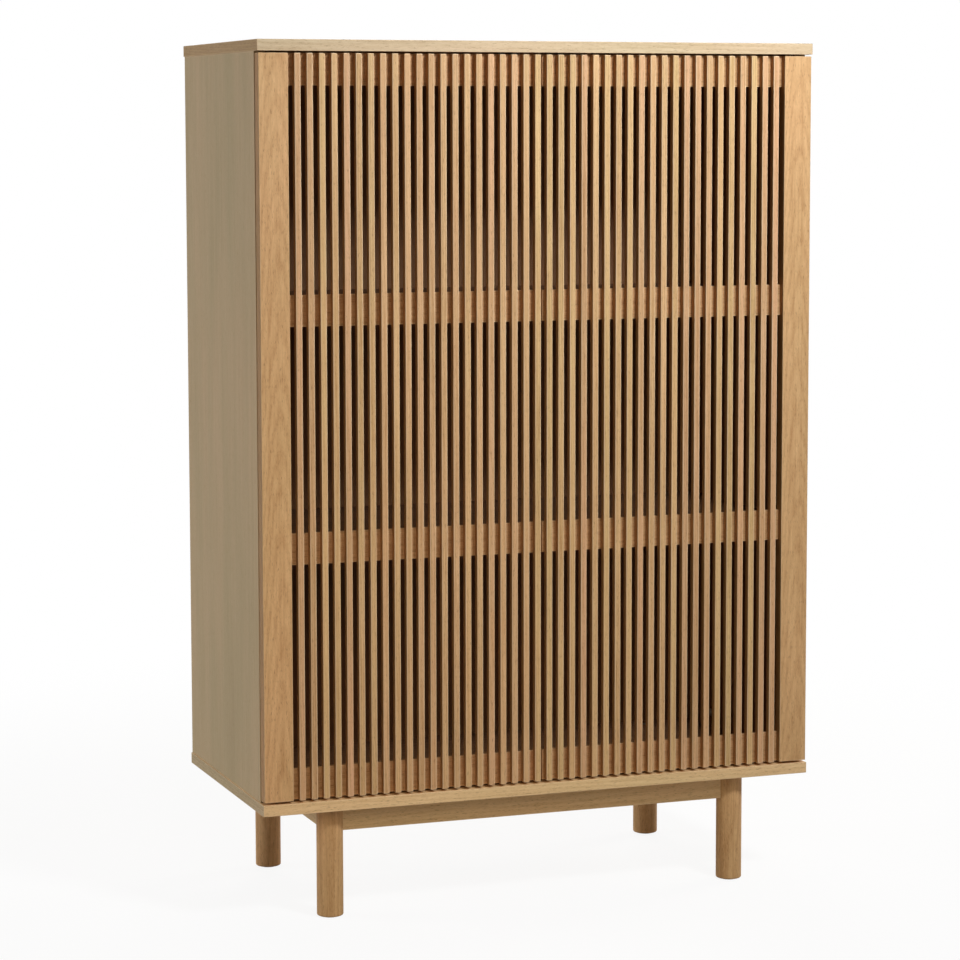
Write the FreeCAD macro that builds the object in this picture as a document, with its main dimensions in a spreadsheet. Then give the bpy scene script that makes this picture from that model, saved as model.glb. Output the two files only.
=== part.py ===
import FreeCAD, Part
import Sketcher
import os
import re

# Louvred door cabinet: a case on a legged base, with two slatted doors.
# X runs to the right, Y to the back and Z up. The floor is Z = 0, and X = Y = 0 is the middle of the case.

SIZES = {
    # Case. The case is as wide as the two rows of slats and the two stiles make it.
    "case_depth": 445,
    "case_height": 1220,
    "board_thickness": 18,
    "board_overhang": 2,
    "side_thickness": 18,
    "edge_rounding": 0.8,
    "back_thickness": 6,
    "back_inset": 10,
    "groove_depth": 8,
    "fit_clearance": 0.05,
    # Doors
    "slat_count": 21,
    "slat_width": 10,
    "slat_gap": 10,
    "slat_depth": 12,
    "stile_width": 48,
    "rail_height": 50,
    "rail_thickness": 8,
    "rail_lap": 8,
    "door_setback": 0.5,
    "door_gap_above": 3,
    "door_gap_below": 4,
    "door_gap_between": 2.5,
    "door_swing": 105,
    "swing_clearance": 0.7,
    # Shelves and the pins that carry them
    "shelf_thickness": 18,
    "shelf_setback": 25,
    "shelf_clearance": 1,
    "peg_diameter": 5,
    "peg_depth": 9,
    "peg_reach": 10,
    "peg_height": 6,
    "peg_inset": 60,
    "peg_row_count": 5,
    "peg_row_step": 32,
    # Base
    "leg_height": 180,
    "leg_diameter": 43,
    "leg_rounding": 3,
    "leg_side_inset": 122.5,
    "leg_front_inset": 44.5,
    "apron_height": 40,
    "apron_thickness": 18,
    "glide_diameter": 28,
    "glide_thickness": 1.5,
    "glide_stem_diameter": 5,
    "glide_stem_length": 15,
    # Fasteners of the case and the base
    "hole_spare": 1,
    "dowel_diameter": 8,
    "dowel_length": 32,
    "dowel_depth": 12,
    "dowel_inset": 60,
    "dowel_to_cam": 32,
    "apron_dowel_inset": 11,
    "cam_diameter": 15,
    "cam_depth": 13,
    "cam_distance": 24,
    "cam_bolt_diameter": 6,
    "cam_bolt_depth": 11,
    "leg_bolt_diameter": 8,
    "leg_bolt_head_diameter": 18,
    "leg_bolt_head_height": 4,
    "leg_bolt_reach": 40,
    "insert_diameter": 12,
    "insert_length": 25,
    "screw_diameter": 4,
    "screw_depth": 12,
    "screw_head_diameter": 7,
    "screw_head_height": 1.5,
    # Hinges
    "running_clearance": 0.05,
    "hinge_count": 3,
    "hinge_to_rail": 60,
    "cup_diameter": 35,
    "cup_wall": 1,
    "cup_to_edge": 3,
    "cup_floor_clearance": 0.45,
    "flange_thickness": 1,
    "flange_width": 13,
    "flange_length": 62,
    "flange_rim": 1.5,
    "flange_screw_inset": 6.5,
    "hinge_pin_diameter": 3,
    "hinge_pin_depth": 7.5,
    "knuckle_wall": 1.5,
    "knuckle_clearance": 0.8,
    "arm_width": 9,
    "arm_thickness": 2.4,
    "plate_thickness": 3,
    "plate_setback": 20,
    "plate_length": 32,
    "plate_height": 48,
    "plate_screw_inset": 8,
    # Push latches
    "latch_offset": 40,
    "latch_width": 14,
    "latch_height": 24,
    "latch_length": 75,
    "latch_ear": 12,
    "latch_ear_thickness": 3,
    "latch_ear_length": 24,
    "plunger_diameter": 8,
    "plunger_length": 55,
    "strike_diameter": 12,
    "strike_thickness": 1.5,
    "strike_pin_diameter": 3,
    "strike_pin_length": 6,
    "strike_gap": 0.3,
}

# Places worked out from the sizes. Distances to the left and right are from the middle of the case.
LAYOUT = {
    "slat_pitch": "slat_width + slat_gap",
    "side_plane": "stile_width + slat_count * slat_pitch + slat_gap / 2",
    "side_middle": "side_plane - side_thickness / 2",
    "inside_plane": "side_plane - side_thickness",
    "half_width": "side_plane + board_overhang",
    "front_plane": "-case_depth / 2",
    "rear_plane": "case_depth / 2",
    "bottom_top": "leg_height + board_thickness",
    "top_underside": "leg_height + case_height - board_thickness",
    "knuckle_radius": "hinge_pin_diameter / 2 + running_clearance + knuckle_wall",
    "cup_depth": "hinge_pin_depth + knuckle_radius + cup_floor_clearance + cup_wall",
    "cup_middle": "side_plane - cup_to_edge - cup_diameter / 2",
    "cup_bore": "cup_diameter - 2 * cup_wall",
    "cup_to_pin": "sqrt(cup_bore^2 - arm_width^2) / 2 - knuckle_radius - knuckle_clearance",
    "pin_length": "sqrt(cup_diameter^2 - (2 * cup_to_pin + hinge_pin_diameter)^2)",
    "pin_middle": "cup_middle + cup_to_pin",
    "pin_inset": "side_plane - pin_middle",
    "door_thickness": "slat_depth + rail_thickness",
    "door_front": "front_plane + door_setback",
    "rail_front": "door_front + slat_depth",
    "door_back": "rail_front + rail_thickness",
    "back_corner_reach": "sqrt(pin_inset^2 + hinge_pin_depth^2)",
    "front_corner_reach": "pin_inset * sin(door_swing * 1deg)"
                          " - (door_thickness - hinge_pin_depth) * cos(door_swing * 1deg)",
    "door_side_gap": "max(back_corner_reach; front_corner_reach) - hinge_pin_depth + swing_clearance",
    "side_front": "door_back + door_side_gap",
    "pin_place": "door_back - hinge_pin_depth",
    "door_bottom": "bottom_top + door_gap_below",
    "door_top": "top_underside - door_gap_above",
    "door_height": "door_top - door_bottom",
    "rail_step": "(door_height - rail_height) / 3",
    "stile_inner": "side_plane - stile_width",
    "hinge_first": "door_bottom + rail_height + hinge_to_rail",
    "hinge_step": "(door_height - 2 * (rail_height + hinge_to_rail)) / (hinge_count - 1)",
    "arm_face": "inside_plane - plate_thickness",
    "arm_inner": "arm_face - arm_thickness",
    "plate_front": "side_front + plate_setback",
    "back_front": "rear_plane - back_inset - back_thickness",
    "shelf_front": "side_front + shelf_setback",
    "shelf_rear": "back_front - shelf_clearance",
    "leg_middle": "half_width - leg_side_inset",
    "leg_place": "case_depth / 2 - leg_front_inset",
    "apron_bottom": "leg_height - apron_height",
    "latch_axis": "top_underside - latch_height / 2",
    "plunger_tip": "door_back + strike_thickness + strike_gap",
    "ear_front": "side_front + (latch_length - latch_ear_length) / 2",
}

SIDES = {"left": -1, "right": 1}
DEPTH_ENDS = {"front": -1, "rear": 1}
RAILS = ("bottom_rail", "lower_middle_rail", "upper_middle_rail", "top_rail")
SHELVES = ("lower_shelf", "upper_shelf")

doc = FreeCAD.newDocument("LouvredCabinet")
PIECES = {}

SHEET_OF = {name: "Sizes." for name in SIZES} | {name: "Layout." for name in LAYOUT}


def formula(text):
    """The text with each named value pointed at the sheet that holds it."""
    return re.sub(r"[a-z_]+", lambda word: SHEET_OF.get(word.group(), "") + word.group(), text)


def fill_sheet(name, cells):
    """A sheet with one named value on each row."""
    sheet = doc.addObject("Spreadsheet::Sheet", name)
    for row, (alias, content) in enumerate(cells.items(), start=1):
        sheet.set(f"A{row}", alias)
        sheet.set(f"B{row}", content)
        sheet.setAlias(f"B{row}", alias)
    return sheet


sizes = fill_sheet("Sizes", {name: str(number) for name, number in SIZES.items()})
layout = fill_sheet("Layout", {name: "=" + formula(text) for name, text in LAYOUT.items()})
doc.recompute()


def count_of(name):
    """A count from the sheet, for a loop."""
    return int(sizes.get(name))


def around(middle, width):
    """Start and length of a span of some width about its middle."""
    return f"({middle}) - ({width}) / 2", width


def between(start, end):
    """Start and length of a span given by its two ends."""
    return start, f"({end}) - ({start})"


def outward(side, near, far):
    """Start and length along X of a span between two distances from the middle, on one side."""
    start = near if side > 0 else f"-({far})"
    return start, f"({far}) - ({near})"


def off_middle(side, distance):
    """The X of a point at a distance from the middle, on one side."""
    return f"{side} * ({distance})"


def block(x, y, z):
    """A square-edged box. Each of x, y and z is a start and a length."""
    box = doc.addObject("Part::Box", "Block")
    for size, axis, (start, length) in zip(("Length", "Width", "Height"), "xyz", (x, y, z)):
        box.setExpression(size, formula(length))
        box.setExpression("Placement.Base." + axis, formula(start))
    return box


ROD_TURNS = {
    "x": FreeCAD.Rotation(FreeCAD.Vector(0, 1, 0), 90),
    "y": FreeCAD.Rotation(FreeCAD.Vector(1, 0, 0), -90),
    "z": FreeCAD.Rotation(),
}


def rod(diameter, x, y, z):
    """A round rod. Its axis is the one of x, y and z that is a start and a length."""
    cylinder = doc.addObject("Part::Cylinder", "Rod")
    cylinder.setExpression("Radius", formula(f"({diameter}) / 2"))
    for axis, place in zip("xyz", (x, y, z)):
        if isinstance(place, tuple):
            cylinder.Placement = FreeCAD.Placement(FreeCAD.Vector(), ROD_TURNS[axis])
            cylinder.setExpression("Height", formula(place[1]))
            place = place[0]
        cylinder.setExpression("Placement.Base." + axis, formula(place))
    return cylinder


def hole(diameter, x, y, z):
    """The space for a rod of a diameter, with the clearance of a snug fit all round."""
    return rod(f"({diameter}) + 2 * fit_clearance", x, y, z)


def joined(*solids):
    """Solids made one."""
    fusion = doc.addObject("Part::MultiFuse", "Joined")
    fusion.Shapes = list(solids)
    return fusion


def less(solid, *spaces):
    """A solid with some spaces cut out of it."""
    cut = doc.addObject("Part::Cut", "Less")
    cut.Base = solid
    cut.Tool = joined(*spaces) if len(spaces) > 1 else spaces[0]
    return cut


def named(label, piece):
    """Names a finished piece, which then has a file of its own."""
    piece.Label = label
    PIECES[label] = piece
    return piece


def named_group(label, solids):
    """Names a set of equal solids that share one file."""
    group = doc.addObject("Part::Compound", "Group")
    group.Links = solids
    return named(label, group)


def body_plane(body, role):
    """One of a body's own origin planes."""
    return next(feature for feature in body.Origin.OriginFeatures if feature.Role == role)


def flat_sketch(body, height):
    """An empty level sketch of a body at a height."""
    sketch = body.newObject("Sketcher::SketchObject", "Section")
    sketch.AttachmentSupport = [(body_plane(body, "XY_Plane"), "")]
    sketch.MapMode = "FlatFace"
    sketch.setExpression("AttachmentOffset.Base.z", formula(height))
    return sketch


def hold(sketch, name, text, *constraint):
    """Adds a dimension to a sketch and ties it to the sheet."""
    index = sketch.addConstraint(Sketcher.Constraint(*constraint))
    sketch.renameConstraint(index, name)
    sketch.setExpression("Constraints." + name, formula(text))


def rectangle(sketch, x, y):
    """Draws a rectangle whose spans in X and Y are tied to the sheet."""
    corners = [FreeCAD.Vector(*corner) for corner in ((1, 1), (2, 1), (2, 2), (1, 2))]
    for start, end in zip(corners, corners[1:] + corners[:1]):
        sketch.addGeometry(Part.LineSegment(start, end))
    for line in range(4):
        sketch.addConstraint(Sketcher.Constraint("Coincident", line, 2, (line + 1) % 4, 1))
        sketch.addConstraint(Sketcher.Constraint("Vertical" if line % 2 else "Horizontal", line))
    hold(sketch, "left", x[0], "DistanceX", -1, 1, 0, 1, 1.0)
    hold(sketch, "width", x[1], "DistanceX", 0, 1, 0, 2, 1.0)
    hold(sketch, "front", y[0], "DistanceY", -1, 1, 0, 1, 1.0)
    hold(sketch, "depth", y[1], "DistanceY", 1, 1, 1, 2, 1.0)


def padded(body, sketch, height):
    """The sketch raised to a height."""
    pad = body.newObject("PartDesign::Pad", "Pad")
    pad.Profile = sketch
    pad.setExpression("Length", formula(height))
    doc.recompute()
    return pad


def plank(x, y, z):
    """A sawn and planed piece of wood, a box with all its edges eased."""
    body = doc.addObject("PartDesign::Body", "Plank")
    sketch = flat_sketch(body, z[0])
    rectangle(sketch, x, y)
    pad = padded(body, sketch, z[1])
    easing = body.newObject("PartDesign::Fillet", "Easing")
    easing.Base = (pad, [])
    easing.UseAllEdges = True
    easing.setExpression("Radius", formula("edge_rounding"))
    return body


def turned_leg(x, y):
    """A round leg whose lower edge is rounded, standing on its glide."""
    body = doc.addObject("PartDesign::Body", "Leg")
    sketch = flat_sketch(body, "glide_thickness")
    sketch.addGeometry(Part.Circle(FreeCAD.Vector(1, 1), FreeCAD.Vector(0, 0, 1), 1))
    hold(sketch, "radius", "leg_diameter / 2", "Radius", 0, 1.0)
    hold(sketch, "across", x, "DistanceX", -1, 1, 0, 3, 1.0)
    hold(sketch, "along", y, "DistanceY", -1, 1, 0, 3, 1.0)
    pad = padded(body, sketch, "leg_height - glide_thickness")
    low = pad.Shape.BoundBox.ZMin
    rim = [f"Edge{index}" for index, edge in enumerate(pad.Shape.Edges, start=1)
           if abs(edge.BoundBox.ZMax - low) < 1e-6]
    rounding = body.newObject("PartDesign::Fillet", "Rounding")
    rounding.Base = (pad, rim)
    rounding.setExpression("Radius", formula("leg_rounding"))
    return body


def screw(side, face, into, y, z):
    """A screw along X whose head lies on the inner side of a face; into is its length past the face."""
    head = rod("screw_head_diameter", outward(side, f"{face} - screw_head_height", face), y, z)
    shank = rod("screw_diameter", outward(side, face, f"{face} + {into}"), y, z)
    return joined(head, shank)


# Where the case joints and the shelf pins are

CASE_JOINTS = [(side, end, depth_end) for side in SIDES.values()
               for end in ("bottom", "top") for depth_end in DEPTH_ENDS.values()]


def dowel_y(depth_end):
    """Depth of the dowel near the front or the rear edge of a side panel."""
    return "side_front + dowel_inset" if depth_end < 0 else "rear_plane - back_inset - dowel_inset"


def cam_y(depth_end):
    """Depth of the cam bolt next to that dowel, nearer to the middle."""
    return f"{dowel_y(depth_end)} - {depth_end} * dowel_to_cam"


def upright(end, board_part, side_part):
    """Span along Z of a rod that goes from a board into the end of a side panel."""
    if end == "bottom":
        return between(f"bottom_top - {board_part}", f"bottom_top + {side_part}")
    return between(f"top_underside - {side_part}", f"top_underside + {board_part}")


def case_dowel(make, side, end, depth_end, spare="0"):
    """A dowel between a side panel and a board, or the hole for it."""
    length = upright(end, f"(dowel_depth + {spare})", f"(dowel_length - dowel_depth + {spare})")
    return make("dowel_diameter", off_middle(side, "side_middle"), dowel_y(depth_end), length)


def cam_bolt(make, side, end, depth_end, spare="0"):
    """A cam bolt, screwed into a board and caught by the cam in the side panel, or the hole for it."""
    length = upright(end, f"(cam_bolt_depth + {spare})", f"(cam_distance + {spare})")
    return make("cam_bolt_diameter", off_middle(side, "side_middle"), cam_y(depth_end), length)


def cam_disc(make, side, end, depth_end):
    """The disc of a cam lock, let into the inner face of a side panel, or the hole for it."""
    height = "bottom_top + cam_distance" if end == "bottom" else "top_underside - cam_distance"
    depth = outward(side, "inside_plane", "inside_plane + cam_depth")
    return make("cam_diameter", depth, cam_y(depth_end), height)


def rail_height_at(index):
    """Underside of one of the rails, counted from the bottom."""
    return f"door_bottom + {index} * rail_step"


def shelf_underside(shelf):
    """Underside of a shelf, which hides behind the middle rail of its own height."""
    rail = SHELVES.index(shelf) + 1
    return f"{rail_height_at(rail)} + (rail_height - shelf_thickness) / 2"


PEG_PLACES = [(side, shelf, depth_end) for side in SIDES.values()
              for shelf in SHELVES for depth_end in DEPTH_ENDS.values()]


def peg_y(depth_end):
    """Depth of the shelf pins near the front or the rear edge of a shelf."""
    return "shelf_front + peg_inset" if depth_end < 0 else "shelf_rear - peg_inset"


def peg_axis(shelf):
    """Height of the axis of the pins that carry a shelf."""
    return f"{shelf_underside(shelf)} - peg_height / 2"


# Case

def board_holes(end):
    """Holes for dowels and cam bolts in the top or the bottom board, and the groove for the back."""
    joints = [joint for joint in CASE_JOINTS if joint[1] == end]
    holes = [case_dowel(hole, *joint, spare="hole_spare") for joint in joints]
    holes += [cam_bolt(hole, *joint) for joint in joints]
    faces = ("bottom_top - groove_depth", "bottom_top")
    if end == "top":
        faces = ("top_underside", "top_underside + groove_depth")
    groove = block(
        around("0", "2 * (inside_plane + groove_depth)"),
        around("back_front + back_thickness / 2", "back_thickness + 2 * fit_clearance"),
        between(*faces),
    )
    return holes + [groove]


def make_boards():
    """Top and bottom boards, which run past the sides and cover the ends of the doors."""
    width = around("0", "2 * half_width")
    depth = between("front_plane", "rear_plane")
    top = plank(width, depth, ("top_underside", "board_thickness"))
    bottom = plank(width, depth, ("leg_height", "board_thickness"))
    latch_holes = [latch_screw_shank(hole, side, edge) for side in SIDES.values() for edge in (-1, 1)]
    named("top_panel", less(top, *board_holes("top"), *latch_holes))
    bolt_holes = [leg_bolt(hole, *place) for place in LEG_PLACES.values()]
    named("bottom_panel", less(bottom, *board_holes("bottom"), *bolt_holes))


def make_side_panel(name, side):
    """A side panel between the boards, with its groove, joint holes, pin holes and screw holes."""
    panel = block(
        outward(side, "inside_plane", "side_plane"),
        between("side_front", "rear_plane"),
        between("bottom_top", "top_underside"),
    )
    groove = block(
        outward(side, "inside_plane", "inside_plane + groove_depth"),
        around("back_front + back_thickness / 2", "back_thickness + 2 * fit_clearance"),
        between("bottom_top", "top_underside"),
    )
    spaces = [groove]
    for joint in CASE_JOINTS:
        if joint[0] == side:
            spaces.append(case_dowel(hole, *joint, spare="hole_spare"))
            spaces.append(cam_bolt(hole, *joint))
            spaces.append(cam_disc(hole, *joint))
    rows = count_of("peg_row_count")
    for place_side, shelf, depth_end in PEG_PLACES:
        for row in range(rows) if place_side == side else ():
            height = f"{peg_axis(shelf)} + {row - rows // 2} * peg_row_step"
            depth = outward(side, "inside_plane", "inside_plane + peg_depth")
            spaces.append(hole("peg_diameter", depth, peg_y(depth_end), height))
    for height in hinge_heights():
        for edge in (-1, 1):
            depth = outward(side, "inside_plane", "inside_plane + screw_depth")
            spaces.append(hole("screw_diameter", depth, plate_screw_y(), plate_screw_z(height, edge)))
    named(name + "_side_panel", less(panel, *spaces))


def make_back_panel():
    """The thin back, held in the grooves all round."""
    named("back_panel", block(
        around("0", "2 * (inside_plane + groove_depth - fit_clearance)"),
        ("back_front", "back_thickness"),
        between("bottom_top - groove_depth + fit_clearance", "top_underside + groove_depth - fit_clearance"),
    ))


def make_shelves():
    """Two loose shelves and the pins that carry them."""
    for shelf in SHELVES:
        named(shelf, plank(
            around("0", "2 * (inside_plane - shelf_clearance)"),
            between("shelf_front", "shelf_rear"),
            (shelf_underside(shelf), "shelf_thickness"),
        ))
    pegs = []
    for side, shelf, depth_end in PEG_PLACES:
        depth = outward(side, "inside_plane", "inside_plane + peg_depth")
        stem = rod("peg_diameter", depth, peg_y(depth_end), peg_axis(shelf))
        tongue = block(
            outward(side, "inside_plane - peg_reach", "inside_plane"),
            around(peg_y(depth_end), "peg_height"),
            around(peg_axis(shelf), "peg_height"),
        )
        pegs.append(joined(stem, tongue))
    named_group("shelf_pins", pegs)


def make_case_fasteners():
    """Dowels, cam bolts and cam locks that hold the side panels between the boards."""
    named_group("case_dowels", [case_dowel(rod, *joint) for joint in CASE_JOINTS])
    bolts = []
    locks = []
    for joint in CASE_JOINTS:
        bolts.append(cam_bolt(rod, *joint))
        locks.append(less(cam_disc(rod, *joint), cam_bolt(hole, *joint)))
    named_group("cam_bolts", bolts)
    named_group("cam_locks", locks)


# Base

LEG_PLACES = {f"{depth_name}_{side_name}": (side, depth_end)
              for depth_name, depth_end in DEPTH_ENDS.items() for side_name, side in SIDES.items()}


def leg_x(side):
    """The X of a leg's axis."""
    return off_middle(side, "leg_middle")


def leg_y(depth_end):
    """The Y of a leg's axis."""
    return f"{depth_end} * leg_place"


def leg_bolt(make, side, depth_end):
    """A bolt from the bottom board down into a leg, or the hole for it."""
    place = (leg_x(side), leg_y(depth_end))
    head = make("leg_bolt_head_diameter", *place, between("bottom_top - leg_bolt_head_height", "bottom_top"))
    shank = make("leg_bolt_diameter", *place, between("leg_height - leg_bolt_reach", "bottom_top"))
    return joined(head, shank)


def apron_dowels(make, spare="0"):
    """Two dowels at each end of each apron, set into the leg, or the holes for them."""
    near = f"leg_diameter / 2 - dowel_depth - {spare}"
    far = f"leg_diameter / 2 - dowel_depth + dowel_length + {spare}"
    dowels = []
    for side, depth_end in LEG_PLACES.values():
        for height in ("apron_bottom + apron_dowel_inset", "leg_height - apron_dowel_inset"):
            along_x = outward(side, f"leg_middle - ({far})", f"leg_middle - ({near})")
            along_y = outward(depth_end, f"leg_place - ({far})", f"leg_place - ({near})")
            dowels.append(make("dowel_diameter", along_x, leg_y(depth_end), height))
            dowels.append(make("dowel_diameter", leg_x(side), along_y, height))
    return dowels


def make_legs():
    """Round legs with their inserts and glides."""
    inserts = []
    for name, (side, depth_end) in LEG_PLACES.items():
        place = (leg_x(side), leg_y(depth_end))
        insert_span = between("leg_height - insert_length", "leg_height")
        bolt_span = between("leg_height - leg_bolt_reach - hole_spare", "leg_height")
        stem_span = ("glide_thickness", "glide_stem_length")
        named(name + "_leg", less(
            turned_leg(*place),
            hole("insert_diameter", *place, insert_span),
            hole("leg_bolt_diameter", *place, bolt_span),
            hole("glide_stem_diameter", *place, stem_span),
            *apron_dowels(hole, spare="hole_spare"),
        ))
        named(name + "_glide", joined(
            rod("glide_diameter", *place, ("0", "glide_thickness")),
            rod("glide_stem_diameter", *place, stem_span),
        ))
        sleeve = rod("insert_diameter", *place, insert_span)
        inserts.append(less(sleeve, hole("leg_bolt_diameter", *place, insert_span)))
    named_group("leg_inserts", inserts)
    named_group("leg_bolts", [leg_bolt(rod, *place) for place in LEG_PLACES.values()])


def make_aprons():
    """Four aprons under the bottom board, with ends hollowed to fit the round legs."""
    height = ("apron_bottom", "apron_height")
    full_width = around("0", "2 * leg_middle")
    full_depth = around("0", "2 * leg_place")
    spans = {name: (full_width, around(leg_y(end), "apron_thickness")) for name, end in DEPTH_ENDS.items()}
    spans |= {name: (around(leg_x(side), "apron_thickness"), full_depth) for name, side in SIDES.items()}
    for name, (x, y) in spans.items():
        legs = [hole("leg_diameter", leg_x(side), leg_y(end), height) for side, end in LEG_PLACES.values()]
        named(name + "_apron", less(plank(x, y, height), *legs, *apron_dowels(hole, spare="hole_spare")))
    named_group("apron_dowels", apron_dowels(rod))


# Hinges

def hinge_heights():
    """Heights of the hinges of a door."""
    return [f"hinge_first + {index} * hinge_step" for index in range(count_of("hinge_count"))]


def plate_screw_y():
    """Depth of the screws of a hinge plate."""
    return "plate_front + plate_length / 2"


def plate_screw_z(height, edge):
    """Height of one of the two screws of a hinge plate."""
    return f"{height} + {edge} * (plate_height / 2 - plate_screw_inset)"


def pin_spot(side):
    """The X and Y of the axis that a door turns on."""
    return off_middle(side, "pin_middle"), "pin_place"


def cup_screw_z(height, edge):
    """Height of one of the two screws of a hinge cup."""
    return f"{height} + {edge} * (flange_length / 2 - flange_screw_inset)"


def hinge_cup(side, height):
    """A round tub let into the stile, with a flange on the back of the door and the pin through its walls."""
    middle = off_middle(side, "cup_middle")
    flange_span = ("door_back", "flange_thickness")
    tub = rod("cup_diameter", middle, between("door_back - cup_depth", "door_back"), height)
    rim = rod("cup_diameter + 2 * flange_rim", middle, flange_span, height)
    flange = block(around(middle, "flange_width"), flange_span, around(height, "flange_length"))
    mouth_span = between("door_back - cup_depth + cup_wall", "door_back + flange_thickness")
    mouth = rod("cup_bore", middle, mouth_span, height)
    pin_hole = hole("hinge_pin_diameter", *pin_spot(side), around(height, "cup_diameter"))
    screw_holes = [hole("screw_diameter", middle, flange_span, cup_screw_z(height, edge)) for edge in (-1, 1)]
    return less(joined(tub, rim, flange), mouth, pin_hole, *screw_holes)


def hinge_pin(side, height):
    """The pin that the door turns on, held in the walls of the cup."""
    return rod("hinge_pin_diameter", *pin_spot(side), around(height, "pin_length"))


def cup_screws(side, height):
    """The two screws that hold a cup to the stile."""
    middle = off_middle(side, "cup_middle")
    face = "door_back + flange_thickness"
    screws = []
    for edge in (-1, 1):
        place = cup_screw_z(height, edge)
        head = rod("screw_head_diameter", middle, (face, "screw_head_height"), place)
        shank = rod("screw_diameter", middle, between("door_back - screw_depth", face), place)
        screws.append(joined(head, shank))
    return screws


def hinge_arm(side, height):
    """A bent arm from the pin in the cup, out through the mouth of the cup and along the plate."""
    level = around(height, "arm_width")
    knuckle = rod("2 * knuckle_radius", *pin_spot(side), level)
    reach = block(outward(side, "arm_inner", "pin_middle"), around("pin_place", "arm_thickness"), level)
    run = block(
        outward(side, "arm_inner", "arm_face"),
        between("pin_place - arm_thickness / 2", "plate_front + plate_length"),
        level,
    )
    eye = rod("hinge_pin_diameter + 2 * running_clearance", *pin_spot(side), level)
    screw_hole = hole("screw_diameter", outward(side, "arm_inner", "arm_face"), plate_screw_y(), height)
    return less(joined(knuckle, reach, run), eye, screw_hole)


def hinge_plate(side, height):
    """The plate on the side panel that carries an arm."""
    thickness = outward(side, "arm_face", "inside_plane")
    plate = block(thickness, ("plate_front", "plate_length"), around(height, "plate_height"))
    places = [plate_screw_z(height, -1), plate_screw_z(height, 1), height]
    return less(plate, *[hole("screw_diameter", thickness, plate_screw_y(), place) for place in places])


def make_hinges(name, side):
    """The hinges of one door. Cups, pins and cup screws go with the door, the rest with the case."""
    heights = hinge_heights()
    named_group(name + "_hinge_cups", [hinge_cup(side, height) for height in heights])
    named_group(name + "_hinge_pins", [hinge_pin(side, height) for height in heights])
    named_group(name + "_hinge_cup_screws", [each for height in heights for each in cup_screws(side, height)])
    named_group(name + "_hinge_arms", [hinge_arm(side, height) for height in heights])
    named_group(name + "_hinge_plates", [hinge_plate(side, height) for height in heights])
    named_group(name + "_hinge_arm_screws", [
        screw(side, "arm_inner", "arm_thickness + plate_thickness", plate_screw_y(), height)
        for height in heights])
    named_group(name + "_hinge_plate_screws", [
        screw(side, "arm_face", "plate_thickness + screw_depth", plate_screw_y(), plate_screw_z(height, edge))
        for height in heights for edge in (-1, 1)])


# Doors

def make_stile(name, side):
    """The wide outer upright of a door, with laps for the rails and bores for the hinge cups."""
    stile = plank(
        outward(side, "stile_inner", "side_plane"),
        between("door_front", "door_back"),
        ("door_bottom", "door_height"),
    )
    spaces = []
    for index in range(len(RAILS)):
        spaces.append(block(
            outward(side, "stile_inner", "stile_inner + rail_lap"),
            between("rail_front", "door_back"),
            (rail_height_at(index), "rail_height"),
        ))
    middle = off_middle(side, "cup_middle")
    for height in hinge_heights():
        spaces.append(hole("cup_diameter", middle, between("door_back - cup_depth", "door_back"), height))
        for edge in (-1, 1):
            depth = between("door_back - screw_depth", "door_back")
            spaces.append(hole("screw_diameter", middle, depth, cup_screw_z(height, edge)))
    named(name + "_door_stile", less(stile, *spaces))


def make_rails(name, side):
    """Four rails behind the slats, lapped into the stile. The top one has the hole for the strike."""
    for index, rail in enumerate(RAILS):
        piece = block(
            outward(side, "door_gap_between / 2", "stile_inner + rail_lap"),
            between("rail_front", "door_back"),
            (rail_height_at(index), "rail_height"),
        )
        if rail == "top_rail":
            piece = less(piece, strike_pin(hole, side))
        named(f"{name}_door_{rail}", piece)


def make_slats(name, side):
    """The row of slats of a door: one eased slat repeated from the meeting edge to the stile."""
    first = outward(side, "slat_gap / 2", "slat_gap / 2 + slat_width")
    body = plank(first, ("door_front", "slat_depth"), ("door_bottom", "door_height"))
    body.AllowCompound = True
    doc.recompute()
    row = body.newObject("PartDesign::LinearPattern", "Row")
    row.TransformMode = "Whole shape"
    row.Direction = (body_plane(body, "YZ_Plane"), [""])
    row.Reversed = side < 0
    row.Mode = "Spacing"
    row.setExpression("Offset", formula("slat_pitch"))
    row.setExpression("Occurrences", formula("slat_count"))
    body.Tip = row
    named(name + "_door_slats", body)


# Push latches

def latch_screw_shank(make, side, edge):
    """The shank of one of the screws of a latch, or the hole for it in the top board."""
    return make("screw_diameter", latch_screw_x(side, edge), latch_screw_y(),
                between("top_underside", "top_underside + screw_depth"))


def latch_screw_x(side, edge):
    """The X of one of the two screws of a latch, in the middle of an ear."""
    return f"{off_middle(side, 'latch_offset')} + {edge} * (latch_width + latch_ear) / 2"


def latch_screw_y():
    """Depth of the screws of a latch."""
    return "ear_front + latch_ear_length / 2"


def strike_pin(make, side):
    """The pin of a strike plate, or the hole for it in the top rail."""
    return make("strike_pin_diameter", off_middle(side, "latch_offset"),
                between("door_back - strike_pin_length", "door_back"), "latch_axis")


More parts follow.
